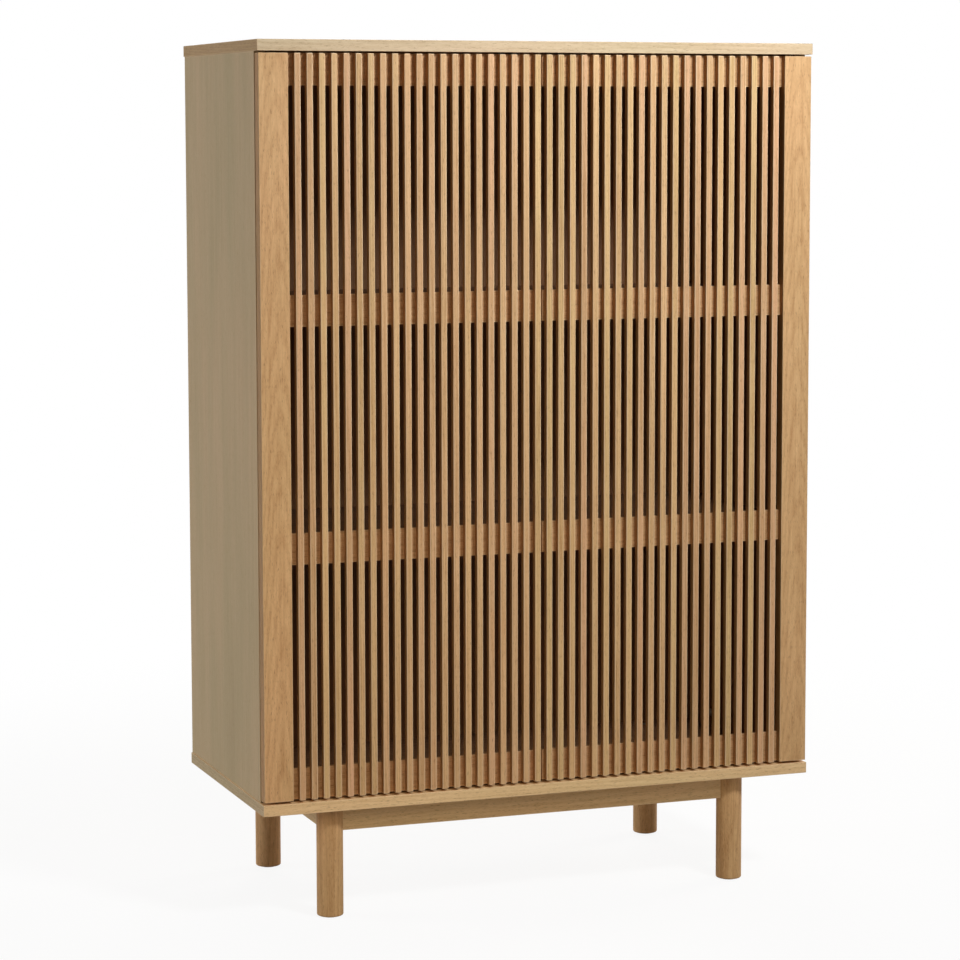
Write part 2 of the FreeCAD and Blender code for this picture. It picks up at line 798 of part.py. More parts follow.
def make_latch(name, side):
    """A push latch under the top board: housing, sliding plunger, and the strike plate on the door."""
    middle = off_middle(side, "latch_offset")
    case = block(
        around(middle, "latch_width"),
        ("side_front", "latch_length"),
        between("top_underside - latch_height", "top_underside"),
    )
    ear_span = between("top_underside - latch_ear_thickness", "top_underside")
    ears = block(around(middle, "latch_width + 2 * latch_ear"), ("ear_front", "latch_ear_length"), ear_span)
    bore = rod(
        "plunger_diameter + 2 * running_clearance",
        middle,
        between("side_front", "plunger_tip + plunger_length + hole_spare"),
        "latch_axis",
    )
    screw_holes = [hole("screw_diameter", latch_screw_x(side, edge), latch_screw_y(), ear_span)
                   for edge in (-1, 1)]
    named(name + "_latch_body", less(joined(case, ears), bore, *screw_holes))
    plunger_span = ("plunger_tip", "plunger_length")
    named(name + "_latch_plunger", rod("plunger_diameter", middle, plunger_span, "latch_axis"))
    disc = rod("strike_diameter", middle, ("door_back", "strike_thickness"), "latch_axis")
    named(name + "_door_strike", joined(disc, strike_pin(rod, side)))


def latch_screw(side, edge):
    """A screw up through the ear of a latch into the top board."""
    ear_face = "top_underside - latch_ear_thickness"
    place = (latch_screw_x(side, edge), latch_screw_y())
    head = rod("screw_head_diameter", *place, between(f"{ear_face} - screw_head_height", ear_face))
    shank = rod("screw_diameter", *place, between(ear_face, "top_underside + screw_depth"))
    return joined(head, shank)


def check_pieces():
    """Stops if anything in the document failed or a piece has no sound shape."""
    doc.recompute()
    for item in doc.Objects:
        if "Invalid" in item.State or "Error" in item.State:
            raise RuntimeError(f"{item.Name} ({item.Label}) failed: {item.State}")
    for label, piece in PIECES.items():
        if piece.Shape.isNull() or not piece.Shape.isValid() or not piece.Shape.Solids:
            raise RuntimeError(f"{label} has no sound shape")


def write_pieces():
    """Writes each piece to a file of its own name."""
    os.makedirs("parts", exist_ok=True)
    for label, piece in PIECES.items():
        piece.Shape.exportStep(f"parts/{label}.step")


make_boards()
make_back_panel()
make_shelves()
make_case_fasteners()
make_legs()
make_aprons()
for side_name, side_sign in SIDES.items():
    make_side_panel(side_name, side_sign)
    make_stile(side_name, side_sign)
    make_rails(side_name, side_sign)
    make_slats(side_name, side_sign)
    make_hinges(side_name, side_sign)
    make_latch(side_name, side_sign)
named_group("latch_screws", [latch_screw(side, edge) for side in SIDES.values() for edge in (-1, 1)])
check_pieces()
write_pieces()
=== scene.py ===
import math

import bpy
import numpy as np
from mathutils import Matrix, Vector


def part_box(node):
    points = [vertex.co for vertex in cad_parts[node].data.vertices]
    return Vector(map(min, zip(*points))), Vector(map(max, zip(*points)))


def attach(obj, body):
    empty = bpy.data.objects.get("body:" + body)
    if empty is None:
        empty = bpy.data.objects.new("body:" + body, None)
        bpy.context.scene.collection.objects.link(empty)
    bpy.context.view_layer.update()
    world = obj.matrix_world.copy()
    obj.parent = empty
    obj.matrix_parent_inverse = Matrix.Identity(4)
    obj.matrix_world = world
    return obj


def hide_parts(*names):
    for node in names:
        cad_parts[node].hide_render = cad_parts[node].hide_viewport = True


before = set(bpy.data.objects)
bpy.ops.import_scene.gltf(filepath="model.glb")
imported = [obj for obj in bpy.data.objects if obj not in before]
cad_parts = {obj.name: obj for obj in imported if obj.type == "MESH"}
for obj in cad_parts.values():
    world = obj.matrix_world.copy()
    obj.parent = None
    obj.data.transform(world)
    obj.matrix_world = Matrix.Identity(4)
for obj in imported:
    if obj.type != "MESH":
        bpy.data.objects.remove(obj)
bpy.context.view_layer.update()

# Slats of the doors, in metres: the first slat starts half a gap from the middle of the cabinet
SLAT_WIDTH = 0.010
SLAT_PITCH = 0.020

# Signs of X on the two sides, seen from the front, and the rails of a door
SIDES = {"left": -1, "right": 1}
RAILS = ("bottom_rail", "lower_middle_rail", "upper_middle_rail", "top_rail")


# Node recipes

class Recipe:
    """Adds nodes to a tree and links them. A value may be a number, a tuple or another node's output."""

    def __init__(self, tree):
        self.tree = tree

    def add(self, kind, inputs=None, **settings):
        """A node with its settings and its inputs, which are given by name or number."""
        node = self.tree.nodes.new(kind)
        for name, value in settings.items():
            setattr(node, name, value)
        for name, value in (inputs or {}).items():
            self.feed(node.inputs[name], value)
        return node

    def feed(self, socket, value):
        """Links an output to a socket, or sets the socket's own value."""
        if isinstance(value, bpy.types.NodeSocket):
            self.tree.links.new(value, socket)
        else:
            socket.default_value = value

    def math(self, operation, *values):
        """Arithmetic on numbers."""
        return self.add("ShaderNodeMath", dict(enumerate(values)), operation=operation).outputs[0]

    def vector(self, operation, *values):
        """Arithmetic on vectors."""
        return self.add("ShaderNodeVectorMath", dict(enumerate(values)), operation=operation).outputs[0]

    def length(self, vector):
        """The length of a vector."""
        return self.add("ShaderNodeVectorMath", {0: vector}, operation="LENGTH").outputs["Value"]

    def parts(self, vector):
        """The three numbers of a vector."""
        return self.add("ShaderNodeSeparateXYZ", {0: vector}).outputs[:]

    def join(self, x, y, z):
        """A vector from three numbers."""
        return self.add("ShaderNodeCombineXYZ", {0: x, 1: y, 2: z}).outputs[0]

    def object_place(self, per_metre):
        """Object coordinates with so many units in a metre along X, Y and Z."""
        return self.vector("MULTIPLY", self.add("ShaderNodeTexCoord").outputs["Object"], per_metre)

    def noise(self, vector, detail=2.0, roughness=0.5, distortion=0.0):
        """Smooth noise from 0 to 1 with cells about one unit wide."""
        inputs = {"Vector": vector, "Scale": 1.0, "Detail": detail, "Roughness": roughness,
                  "Distortion": distortion}
        return self.add("ShaderNodeTexNoise", inputs).outputs["Fac"]

    def cells(self, vector):
        """Distance to the middle of the nearest cell, with cells about one unit wide."""
        return self.add("ShaderNodeTexVoronoi", {"Vector": vector, "Scale": 1.0}).outputs["Distance"]

    def remap(self, value, low, high, to_low=0.0, to_high=1.0, smooth=False):
        """A value carried from one range to another and kept inside it."""
        kind = "SMOOTHSTEP" if smooth else "LINEAR"
        inputs = {"Value": value, "From Min": low, "From Max": high, "To Min": to_low, "To Max": to_high}
        return self.add("ShaderNodeMapRange", inputs, interpolation_type=kind).outputs["Result"]

    def mix(self, factor, first, second, blend="MIX"):
        """Two colours mixed. The node takes them at sockets 6 and 7 and gives one at output 2."""
        inputs = {0: factor, 6: first, 7: second}
        return self.add("ShaderNodeMix", inputs, data_type="RGBA", blend_type=blend).outputs[2]

    def mix_vectors(self, factor, first, second):
        """Two vectors mixed. The node takes them at sockets 4 and 5 and gives one at output 1."""
        inputs = {0: factor, 4: first, 5: second}
        return self.add("ShaderNodeMix", inputs, data_type="VECTOR").outputs[1]

    def bump(self, height, strength, distance):
        """A normal tilted by a height, whose full range stands for a distance in metres."""
        inputs = {"Height": height, "Strength": strength, "Distance": distance}
        return self.add("ShaderNodeBump", inputs).outputs["Normal"]


def colour(red, green, blue):
    """A colour written as screen values from 0 to 255, as the linear values that a socket takes."""
    shares = np.array((red, green, blue)) / 255
    linear = np.where(shares <= 0.04045, shares / 12.92, ((shares + 0.055) / 1.055) ** 2.4)
    return (*linear.tolist(), 1.0)


def new_material(name):
    """An empty material, its recipe and its shader."""
    material = bpy.data.materials.new(name)
    material.use_nodes = True
    recipe = Recipe(material.node_tree)
    shader = material.node_tree.nodes["Principled BSDF"]
    return material, recipe, shader


def feed_shader(recipe, shader, tone, rough, normal):
    """Feeds a shader's colour, roughness and normal."""
    for name, value in (("Base Color", tone), ("Roughness", rough), ("Normal", normal)):
        recipe.feed(shader.inputs[name], value)


def new_group(name, inputs, outputs):
    """An empty group of nodes with named inputs and outputs."""
    tree = bpy.data.node_groups.new(name, "ShaderNodeTree")
    for label, kind in inputs.items():
        tree.interface.new_socket(label, in_out="INPUT", socket_type=kind)
    for label, kind in outputs.items():
        tree.interface.new_socket(label, in_out="OUTPUT", socket_type=kind)
    recipe = Recipe(tree)
    return tree, recipe, recipe.add("NodeGroupInput").outputs, recipe.add("NodeGroupOutput").inputs


def use_group(recipe, tree, inputs):
    """The outputs of a group used in another tree."""
    return recipe.add("ShaderNodeGroup", inputs, node_tree=tree).outputs


# Oak

# Cells of the oak's figure in metres, across and along the grain
GRAIN_CELLS = {"sway": (0.11, 0.55), "ripple": (0.014, 0.16), "fibres": (0.0011, 0.07),
               "streaks": (0.0065, 0.30), "lines": (0.0026, 0.09), "patches": (0.09, 0.50),
               "pores": (0.00055, 0.0085), "flecks": (0.0045, 0.016), "mottle": (0.0038, 0.018)}

# How far the rings sway and ripple, in metres
SWAY_REACH = 0.030
RIPPLE_REACH = 0.0035

# Where in a ring the early wood ends and the late wood starts, and how dark the late wood is
EARLY_WOOD_END = 0.55
LATE_WOOD_START = 0.75
LATE_WOOD_DARKNESS = 0.9

# Noise above these limits shows as a pore, in pale and in dark parts of a ring, or as a fleck
PORE_LIMITS = (0.66, 0.62)
PORE_RAMP = 0.06
FLECK_LIMITS = (0.66, 0.74)

# How far the painted shade of the cabinet's room reaches into the faces round it, in metres
SHADE_LINING_SKIN = 0.0002


def make_oak_figure():
    """The figure of a board sawn from a log, in the board's own metres with Z along the grain.

    The rings are the fraction of the distance from the pith divided by the ring spacing. The log tapers
    and wobbles along its length, so flat-sawn faces show arches and faces far from the pith show lines.
    """
    inputs = {"Vector": "NodeSocketVector", "Pith": "NodeSocketVector", "Ring Spacing": "NodeSocketFloat",
              "Taper": "NodeSocketFloat"}
    labels = ("Rings", "Streaks", "Fibres", "Lines", "Pores", "Patches", "Flecks", "Mottle")
    outputs = dict.fromkeys(labels, "NodeSocketFloat")
    tree, recipe, given, result = new_group("oak figure", inputs, outputs)

    def noise(kind, **settings):
        across, along = GRAIN_CELLS[kind]
        place = recipe.vector("MULTIPLY", given["Vector"], (1 / across, 1 / across, 1 / along))
        return recipe.noise(place, **settings)

    x, y, z = recipe.parts(recipe.vector("SUBTRACT", given["Vector"], given["Pith"]))
    radius = recipe.length(recipe.join(x, y, 0.0))
    radius = recipe.math("MULTIPLY_ADD", z, given["Taper"], radius)
    radius = recipe.math("MULTIPLY_ADD", noise("sway"), SWAY_REACH, radius)
    radius = recipe.math("MULTIPLY_ADD", noise("ripple"), RIPPLE_REACH, radius)
    ring = recipe.math("FRACT", recipe.math("DIVIDE", radius, given["Ring Spacing"]))
    early_wood = recipe.remap(ring, 0.0, EARLY_WOOD_END, 1.0, 0.0, smooth=True)
    late_wood = recipe.remap(ring, LATE_WOOD_START, 1.0, 0.0, LATE_WOOD_DARKNESS, smooth=True)
    rings = recipe.math("MAXIMUM", early_wood, late_wood)
    pore_limit = recipe.remap(rings, 0.0, 1.0, *PORE_LIMITS)
    pores = recipe.math("SUBTRACT", noise("pores", detail=1.0), pore_limit)
    flecks = noise("flecks", detail=1.0, distortion=0.8)
    values = {
        "Rings": rings,
        "Streaks": noise("streaks", detail=3.0, roughness=0.6, distortion=0.3),
        "Fibres": noise("fibres"),
        "Lines": noise("lines", roughness=0.55, distortion=0.2),
        "Pores": recipe.remap(pores, 0.0, PORE_RAMP),
        "Patches": noise("patches"),
        "Flecks": recipe.remap(flecks, *FLECK_LIMITS),
        "Mottle": noise("mottle", detail=3.0, roughness=0.6, distortion=0.8),
    }
    for label, value in values.items():
        recipe.feed(result[label], value)
    return tree


def make_edge_distance():
    """How far a point on a box is from the nearest edge.

    It is the second smallest of the point's distances to the faces of the box.
    """
    inputs = {"Vector": "NodeSocketVector", "Half Size": "NodeSocketVector"}
    tree, recipe, given, result = new_group("edge distance", inputs, {"Distance": "NodeSocketFloat"})
    away = recipe.vector("SUBTRACT", given["Half Size"], recipe.vector("ABSOLUTE", given["Vector"]))
    x, y, z = recipe.parts(away)
    lower = recipe.math("MINIMUM", x, y)
    upper = recipe.math("MAXIMUM", x, y)
    middle = recipe.math("MAXIMUM", lower, recipe.math("MINIMUM", upper, z))
    recipe.feed(result["Distance"], middle)
    return tree


def make_inside_case():
    """One on the faces that enclose the cabinet's room, and zero outside it.

    The room is a box. A point is inside where the smallest of its distances to the box's faces is above
    zero.
    """
    tree, recipe, given, result = new_group(
        "inside case", {"Vector": "NodeSocketVector"}, {"Inside": "NodeSocketFloat"})
    left_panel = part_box("left_side_panel")
    right_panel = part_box("right_side_panel")
    low = Vector((left_panel[1].x, left_panel[0].y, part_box("bottom_panel")[1].z))
    high = Vector((right_panel[0].x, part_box("back_panel")[0].y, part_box("top_panel")[0].z))
    half = (high - low) / 2 + Vector((SHADE_LINING_SKIN, SHADE_LINING_SKIN, SHADE_LINING_SKIN))
    place = recipe.vector("SUBTRACT", given["Vector"], tuple((low + high) / 2))
    away = recipe.vector("SUBTRACT", tuple(half), recipe.vector("ABSOLUTE", place))
    x, y, z = recipe.parts(away)
    nearest = recipe.math("MINIMUM", recipe.math("MINIMUM", x, y), z)
    recipe.feed(result["Inside"], recipe.math("GREATER_THAN", nearest, 0.0))
    return tree


OAK_FIGURE = make_oak_figure()
EDGE_DISTANCE = make_edge_distance()
INSIDE_CASE = make_inside_case()

# Which of a piece's own axes run across the grain, through the thickness and along the grain
GRAIN_ORDERS = {"z_face_y": (0, 1, 2), "z_face_x": (1, 0, 2), "x_face_y": (2, 1, 0), "x_face_z": (1, 2, 0),
                "y_face_x": (2, 0, 1)}

# Pale and dark tones of the oak on each kind of piece
SOLID_TONES = (colour(230, 188, 138), colour(176, 126, 79))
BOARD_TONES = (colour(225, 203, 171), colour(188, 160, 122))
# The bottom panel and the aprons take paler tones: painted light on the shaded foot of the cabinet
PAINTED_LIGHT_FOOT_TONES = (colour(245, 212, 164), colour(213, 174, 123))
END_TONES = (colour(196, 160, 114), colour(160, 122, 78))
# The stiles' side faces take darker tones: painted shade
SHADED_STILE_SIDE_TONES = (colour(178, 136, 86), colour(140, 101, 60))
VENEER_TONES = (colour(208, 185, 146), colour(160, 132, 95))
RAIL_TONES = (colour(214, 170, 124), colour(166, 120, 78))
# Dark tones inside the case and on the shelves: painted shade in the cabinet's room
SHADE_LINING_TONES = (colour(168, 122, 86), colour(94, 66, 45))
SHADED_SHELF_TONES = (colour(140, 99, 68), colour(74, 51, 34))
REAR_TONES = (colour(198, 166, 122), colour(150, 116, 78))

# Each slat's pale tone and dark tone lie between two colours. Faces in the gaps have one darker colour:
# painted shade
SLAT_PALE_RANGE = (colour(226, 181, 142), colour(227, 193, 140))
SLAT_DARK_RANGE = (colour(168, 120, 74), colour(199, 151, 103))
SHADED_GAP_OAK = colour(183, 137, 88)

# Pores, pale edges that are partly rubbing and partly a painted highlight, and the two tints that drift over
# every board
PORE_BROWN = colour(112, 74, 42)
WORN_AND_HIGHLIT_OAK = colour(236, 208, 168)
PINK_TINT = (1.0, 0.955, 0.92, 1.0)
GREEN_TINT = (0.955, 0.985, 0.94, 1.0)
TINT_RANGE = (0.32, 0.68)

# How much each part of the figure darkens solid oak, the narrow slats and oak veneer
SOLID_WEIGHTS = {"Rings": 0.16, "Streaks": 0.76, "Lines": 0.36, "Fibres": 0.30, "Patches": 0.60,
                 "Mottle": 0.66}
SLAT_WEIGHTS = {"Rings": 0.20, "Streaks": 1.00, "Lines": 0.85, "Fibres": 0.35, "Patches": 0.60,
                "Mottle": 0.45}
VENEER_WEIGHTS = {"Rings": 0.05, "Streaks": 0.36, "Lines": 0.16, "Fibres": 0.18, "Patches": 0.60,
                  "Mottle": 0.18}

# Share of the dark tone in plain wood, and how strongly the flecks show
PLAIN_DARKNESS = 0.40
FLECK_STRENGTH = 0.22

# Edges are made pale within these distances, in metres, on streaks of this range: partly rubbing, partly a
# painted highlight
RUBBED_AND_HIGHLIT_EDGE = (0.0003, 0.0022)
RUBBED_AND_HIGHLIT_STREAKS = (0.30, 0.55)

# Roughness of the lacquer, what fibres and pores add to it, its gloss, and the relief of the grain
OAK_ROUGHNESS = 0.50
FIBRE_ROUGHNESS = 0.16
PORE_ROUGHNESS = 0.20
LACQUER_GLOSS = 0.22
PORE_HEIGHT = -0.8
OAK_RELIEF = {"strength": 0.35, "distance": 0.00025}

# How far along the log each seed starts, in metres
SEED_STEP = 1.7

# A face looks sideways where X has more than this share of its direction
BOARD_END_LEAST = 0.3
SLAT_SIDE_LEAST = 0.8

# Grain of the slats: how far apart in the log they may be cut, its pith, rings and taper, in metres
SLAT_SPREAD = (0.07, 0.05, 9.0)
SLAT_PITH = (-0.06, -0.05, 0.0)
SLAT_RING_SPACING = 0.0040
SLAT_TAPER = 0.010


def finish_oak(recipe, shader, figure, tones, edge, weights, pores, wear):
    """Colour, gloss and relief of lacquered oak from its figure. Tones are the pale and the dark colour.

    Weights say how much each part of the figure darkens the wood, and pores how dark the pores are. The
    last argument says how far the edges are made pale: partly rubbing and partly a painted highlight.
    """
    pale, dark = tones
    darkness = PLAIN_DARKNESS - 0.5 * sum(weights.values())
    for label, weight in weights.items():
        darkness = recipe.math("MULTIPLY_ADD", figure[label], weight, darkness)
    wood = recipe.mix(recipe.remap(darkness, 0.0, 1.0), pale, dark)
    wood = recipe.mix(recipe.math("MULTIPLY", figure["Flecks"], FLECK_STRENGTH), wood, pale)
    wood = recipe.mix(recipe.math("MULTIPLY", figure["Pores"], pores), wood, PORE_BROWN)
    tint = recipe.mix(recipe.remap(figure["Patches"], *TINT_RANGE), PINK_TINT, GREEN_TINT)
    wood = recipe.mix(1.0, wood, tint, "MULTIPLY")
    # Pale edges: partly rubbed oak, partly a painted highlight
    worn_and_highlit = recipe.remap(edge, *RUBBED_AND_HIGHLIT_EDGE, wear, 0.0, smooth=True)
    worn_and_highlit = recipe.math("MULTIPLY", worn_and_highlit, recipe.remap(figure["Streaks"], *RUBBED_AND_HIGHLIT_STREAKS))
    wood = recipe.mix(worn_and_highlit, wood, WORN_AND_HIGHLIT_OAK)
    rough = recipe.math("MULTIPLY_ADD", figure["Fibres"], FIBRE_ROUGHNESS, OAK_ROUGHNESS)
    rough = recipe.math("MULTIPLY_ADD", figure["Pores"], PORE_ROUGHNESS, rough)
    height = recipe.math("MULTIPLY_ADD", figure["Pores"], PORE_HEIGHT, figure["Fibres"])
    feed_shader(recipe, shader, wood, rough, recipe.bump(height, **OAK_RELIEF))
    shader.inputs["Specular IOR Level"].default_value = LACQUER_GLOSS


def facing_sideways(recipe, coordinates, least):
    """One on faces that look along X, by at least that share of their direction, and zero on the others."""
    sideways = recipe.math("ABSOLUTE", recipe.parts(coordinates["Normal"])[0])
    return recipe.math("GREATER_THAN", sideways, least)


def oak(node, order, seed, tones=SOLID_TONES, pith=(0.02, 0.05), spacing=0.0045, taper=0.012,
        weights=SOLID_WEIGHTS, pores=0.55, wear=0.35, end_order=None, end_tones=END_TONES, lined=False):
    """Oak for one piece. Pith is where the middle of the log lies, across and behind the piece's own middle.

    Spacing is that of the rings, and the seed says where along the log the piece is cut. End order, where
    given, is the grain on the faces that look along X, such as glued end strips, and end tones are their
    colours. A piece with a shade lining takes dark tones on its faces inside the case: painted shade in the
    cabinet's room.
    """
    material, recipe, shader = new_material(node + "_oak")
    low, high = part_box(node)
    coordinates = recipe.add("ShaderNodeTexCoord").outputs
    place = recipe.vector("SUBTRACT", coordinates["Object"], tuple((low + high) / 2))
    axes = recipe.parts(place)

    def sawn(grain):
        return recipe.join(*[axes[index] for index in GRAIN_ORDERS[grain]])

    board = sawn(order)
    if end_order:
        on_end = facing_sideways(recipe, coordinates, BOARD_END_LEAST)
        board = recipe.mix_vectors(on_end, board, sawn(end_order))
        tones = [recipe.mix(on_end, *pair) for pair in zip(tones, end_tones)]
    # Faces inside the case take dark tones: painted shade
    if lined:
        inside = use_group(recipe, INSIDE_CASE, {"Vector": coordinates["Object"]})["Inside"]
        tones = [recipe.mix(inside, *pair) for pair in zip(tones, SHADE_LINING_TONES)]
        wear = recipe.remap(inside, 0.0, 1.0, wear, 0.0)
    board = recipe.vector("ADD", board, (0.0, 0.0, SEED_STEP * seed))
    figure = use_group(recipe, OAK_FIGURE, {
        "Vector": board, "Pith": (*pith, 0.0), "Ring Spacing": spacing, "Taper": taper})
    half = tuple((high - low) / 2)
    edge = use_group(recipe, EDGE_DISTANCE, {"Vector": place, "Half Size": half})["Distance"]
    finish_oak(recipe, shader, figure, tones, edge, weights, pores, wear)
    return material


def slat_oak(node):
    """Oak for a row of slats. Each slat has its own tone and its own stretch of grain, and its sides carry
    painted shade.
    """
    material, recipe, shader = new_material(node + "_oak")
    low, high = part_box(node)
    middle = (low + high) / 2
    coordinates = recipe.add("ShaderNodeTexCoord").outputs
    x, y, z = recipe.parts(coordinates["Object"])
    number = recipe.math("ADD", recipe.math("FLOOR", recipe.math("DIVIDE", x, SLAT_PITCH)), 0.5)
    place = recipe.join(
        recipe.math("SUBTRACT", x, recipe.math("MULTIPLY", number, SLAT_PITCH)),
        recipe.math("SUBTRACT", y, middle.y),
        recipe.math("SUBTRACT", z, middle.z),
    )
    draw = recipe.add("ShaderNodeTexWhiteNoise", {"W": number}, noise_dimensions="1D").outputs["Color"]
    figure = use_group(recipe, OAK_FIGURE, {
        "Vector": recipe.vector("ADD", place, recipe.vector("MULTIPLY", draw, SLAT_SPREAD)),
        "Pith": SLAT_PITH, "Ring Spacing": SLAT_RING_SPACING, "Taper": SLAT_TAPER})
    half = (SLAT_WIDTH / 2, (high.y - low.y) / 2, (high.z - low.z) / 2)
    edge = use_group(recipe, EDGE_DISTANCE, {"Vector": place, "Half Size": half})["Distance"]
    draws = recipe.parts(draw)
    pale = recipe.mix(draws[0], *SLAT_PALE_RANGE)
    dark = recipe.mix(draws[1], *SLAT_DARK_RANGE)
    # The slats' side faces in the gaps take one darker colour: painted shade
    painted_gap_shade = facing_sideways(recipe, coordinates, SLAT_SIDE_LEAST)
    tones = [recipe.mix(painted_gap_shade, tone, SHADED_GAP_OAK) for tone in (pale, dark)]
    # The slats' edges are made strongly pale: mostly a painted highlight, partly rubbing
    finish_oak(recipe, shader, figure, tones, edge, SLAT_WEIGHTS, pores=0.55, wear=0.8)
    return material


# Other finishes, with their tones from one end of the pattern to the other and their cells in a metre

NICKEL_TONES = (colour(196, 194, 190), colour(222, 220, 214))
NICKEL_ROUGHNESS = (0.20, 0.32)
NICKEL_BLOTCHES = (90.0, 90.0, 90.0)
ROLLING_LINES = (2500.0, 2500.0, 160.0)
ROLLING_ROUGHNESS = 0.16
ROLLING_RELIEF = {"strength": 0.12, "distance": 0.00005}

BLACK_TONES = (colour(34, 33, 33), colour(52, 51, 50))
BLACK_ROUGHNESS = 0.42
GREY_TONES = (colour(146, 146, 145), colour(168, 168, 166))
GREY_ROUGHNESS = 0.40
MOULD_HAZE = (60.0, 60.0, 60.0)
MOULD_GRAIN = (1400.0, 1400.0, 1400.0)
MOULD_ROUGHNESS = 0.18
MOULD_RELIEF = {"strength": 0.2, "distance": 0.00008}

BEECH_TONES = (colour(214, 176, 136), colour(198, 156, 116))
BEECH_HAZE = (80.0, 80.0, 80.0)
BEECH_FLECK_BROWN = colour(150, 104, 68)
BEECH_FLECKS = (700.0, 700.0, 700.0)
BEECH_FLECK_LIMITS = (0.62, 0.68)
BEECH_FLECK_STRENGTH = 0.5
BEECH_ROUGHNESS = (0.55, 0.7)
BEECH_RELIEF = {"strength": 0.2, "distance": 0.0001}

# Most of a noise's values lie in this range
COMMON_NOISE = (0.3, 0.7)


def steel(name):
    """Nickel-plated steel: fine rolling lines and faint blotches of tone and gloss."""
    material, recipe, shader = new_material(name)
    lines = recipe.noise(recipe.object_place(ROLLING_LINES))
    blotches = recipe.noise(recipe.object_place(NICKEL_BLOTCHES), detail=3.0)
    tone = recipe.mix(blotches, *NICKEL_TONES)
    rough = recipe.remap(blotches, *COMMON_NOISE, *NICKEL_ROUGHNESS)
    rough = recipe.math("MULTIPLY_ADD", lines, ROLLING_ROUGHNESS, rough)
    feed_shader(recipe, shader, tone, rough, recipe.bump(lines, **ROLLING_RELIEF))
    shader.inputs["Metallic"].default_value = 1.0
    return material


def plastic(name, tones, roughness):
    """Moulded plastic: a fine spark-eroded grain and slightly uneven tone."""
    material, recipe, shader = new_material(name)
    grain = recipe.cells(recipe.object_place(MOULD_GRAIN))
    haze = recipe.noise(recipe.object_place(MOULD_HAZE), detail=3.0)
    rough = recipe.math("MULTIPLY_ADD", grain, MOULD_ROUGHNESS, roughness)
    feed_shader(recipe, shader, recipe.mix(haze, *tones), rough, recipe.bump(grain, **MOULD_RELIEF))
    return material


def beech(name):
    """Beech of the dowels: pale pinkish wood with short dark flecks."""
    material, recipe, shader = new_material(name)
    flecks = recipe.noise(recipe.object_place(BEECH_FLECKS))
    haze = recipe.noise(recipe.object_place(BEECH_HAZE))
    flecked = recipe.remap(flecks, *BEECH_FLECK_LIMITS, 0.0, BEECH_FLECK_STRENGTH)
    wood = recipe.mix(flecked, recipe.mix(haze, *BEECH_TONES), BEECH_FLECK_BROWN)
    rough = recipe.remap(flecks, *COMMON_NOISE, *BEECH_ROUGHNESS)
    feed_shader(recipe, shader, wood, rough, recipe.bump(flecks, **BEECH_RELIEF))
    return material


# The finish of each piece

def dress(node, material):
    """Gives a piece of the frame its finish."""
    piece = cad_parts[node]
    for place in piece.material_slots:
        place.material = material


def dress_oak(node, order, seed, **grain):
    """Gives a wooden piece oak of its own, from the order of its grain, its seed and other settings."""
    dress(node, oak(node, order, seed, **grain))


def dress_wood():
    """Oak on every wooden piece, each with its own stretch of grain."""
    # Pieces with a shade lining are painted dark inside the case as shade
    dress_oak("top_panel", "x_face_z", 1, tones=BOARD_TONES, pith=(0.3, -0.4), end_order="y_face_x",
              lined=True)
    # The bottom panel takes paler tones as painted light
    dress_oak("bottom_panel", "x_face_z", 2, tones=PAINTED_LIGHT_FOOT_TONES, pith=(0.3, -0.4), end_order="y_face_x",
              end_tones=VENEER_TONES, lined=True)
    dress_oak("back_panel", "z_face_y", 3, tones=REAR_TONES, pith=(0.4, 0.1), weights=VENEER_WEIGHTS,
              pores=0.3, lined=True)
    # The shelves are dark all over: painted shade inside the case
    for seed, shelf in enumerate(("lower_shelf", "upper_shelf"), start=4):
        dress_oak(shelf, "x_face_z", seed, tones=SHADED_SHELF_TONES, pith=(0.5, 0.2), wear=0.1)
    for seed, end in enumerate(("front", "rear"), start=6):
        # The aprons take paler tones as painted light
        dress_oak(end + "_apron", "x_face_y", seed, tones=PAINTED_LIGHT_FOOT_TONES, pith=(0.03, 0.06))
        for side, sign in SIDES.items():
            dress_oak(f"{end}_{side}_leg", "z_face_y", 3 * seed + sign, pith=(0.03, 0.04), spacing=0.005)
    for side, sign in SIDES.items():
        # The aprons take paler tones as painted light
        dress_oak(side + "_apron", "y_face_x", 9 + sign, tones=PAINTED_LIGHT_FOOT_TONES, pith=(0.03, 0.06))
        dress_oak(side + "_side_panel", "z_face_x", 12 + sign, tones=VENEER_TONES, pith=(0.8, 0.2),
                  weights=VENEER_WEIGHTS, pores=0.2, lined=True)
        # The stiles' side faces take darker tones as painted shade
        dress_oak(side + "_door_stile", "z_face_y", 15 + sign, pith=(0.004, 0.012), spacing=0.006,
                  taper=0.08, end_order="z_face_x", end_tones=SHADED_STILE_SIDE_TONES)
        for seed, rail in enumerate(RAILS, start=20):
            dress_oak(f"{side}_door_{rail}", "x_face_y", seed + 5 * sign, tones=RAIL_TONES)
        slats = side + "_door_slats"
        dress(slats, slat_oak(slats))


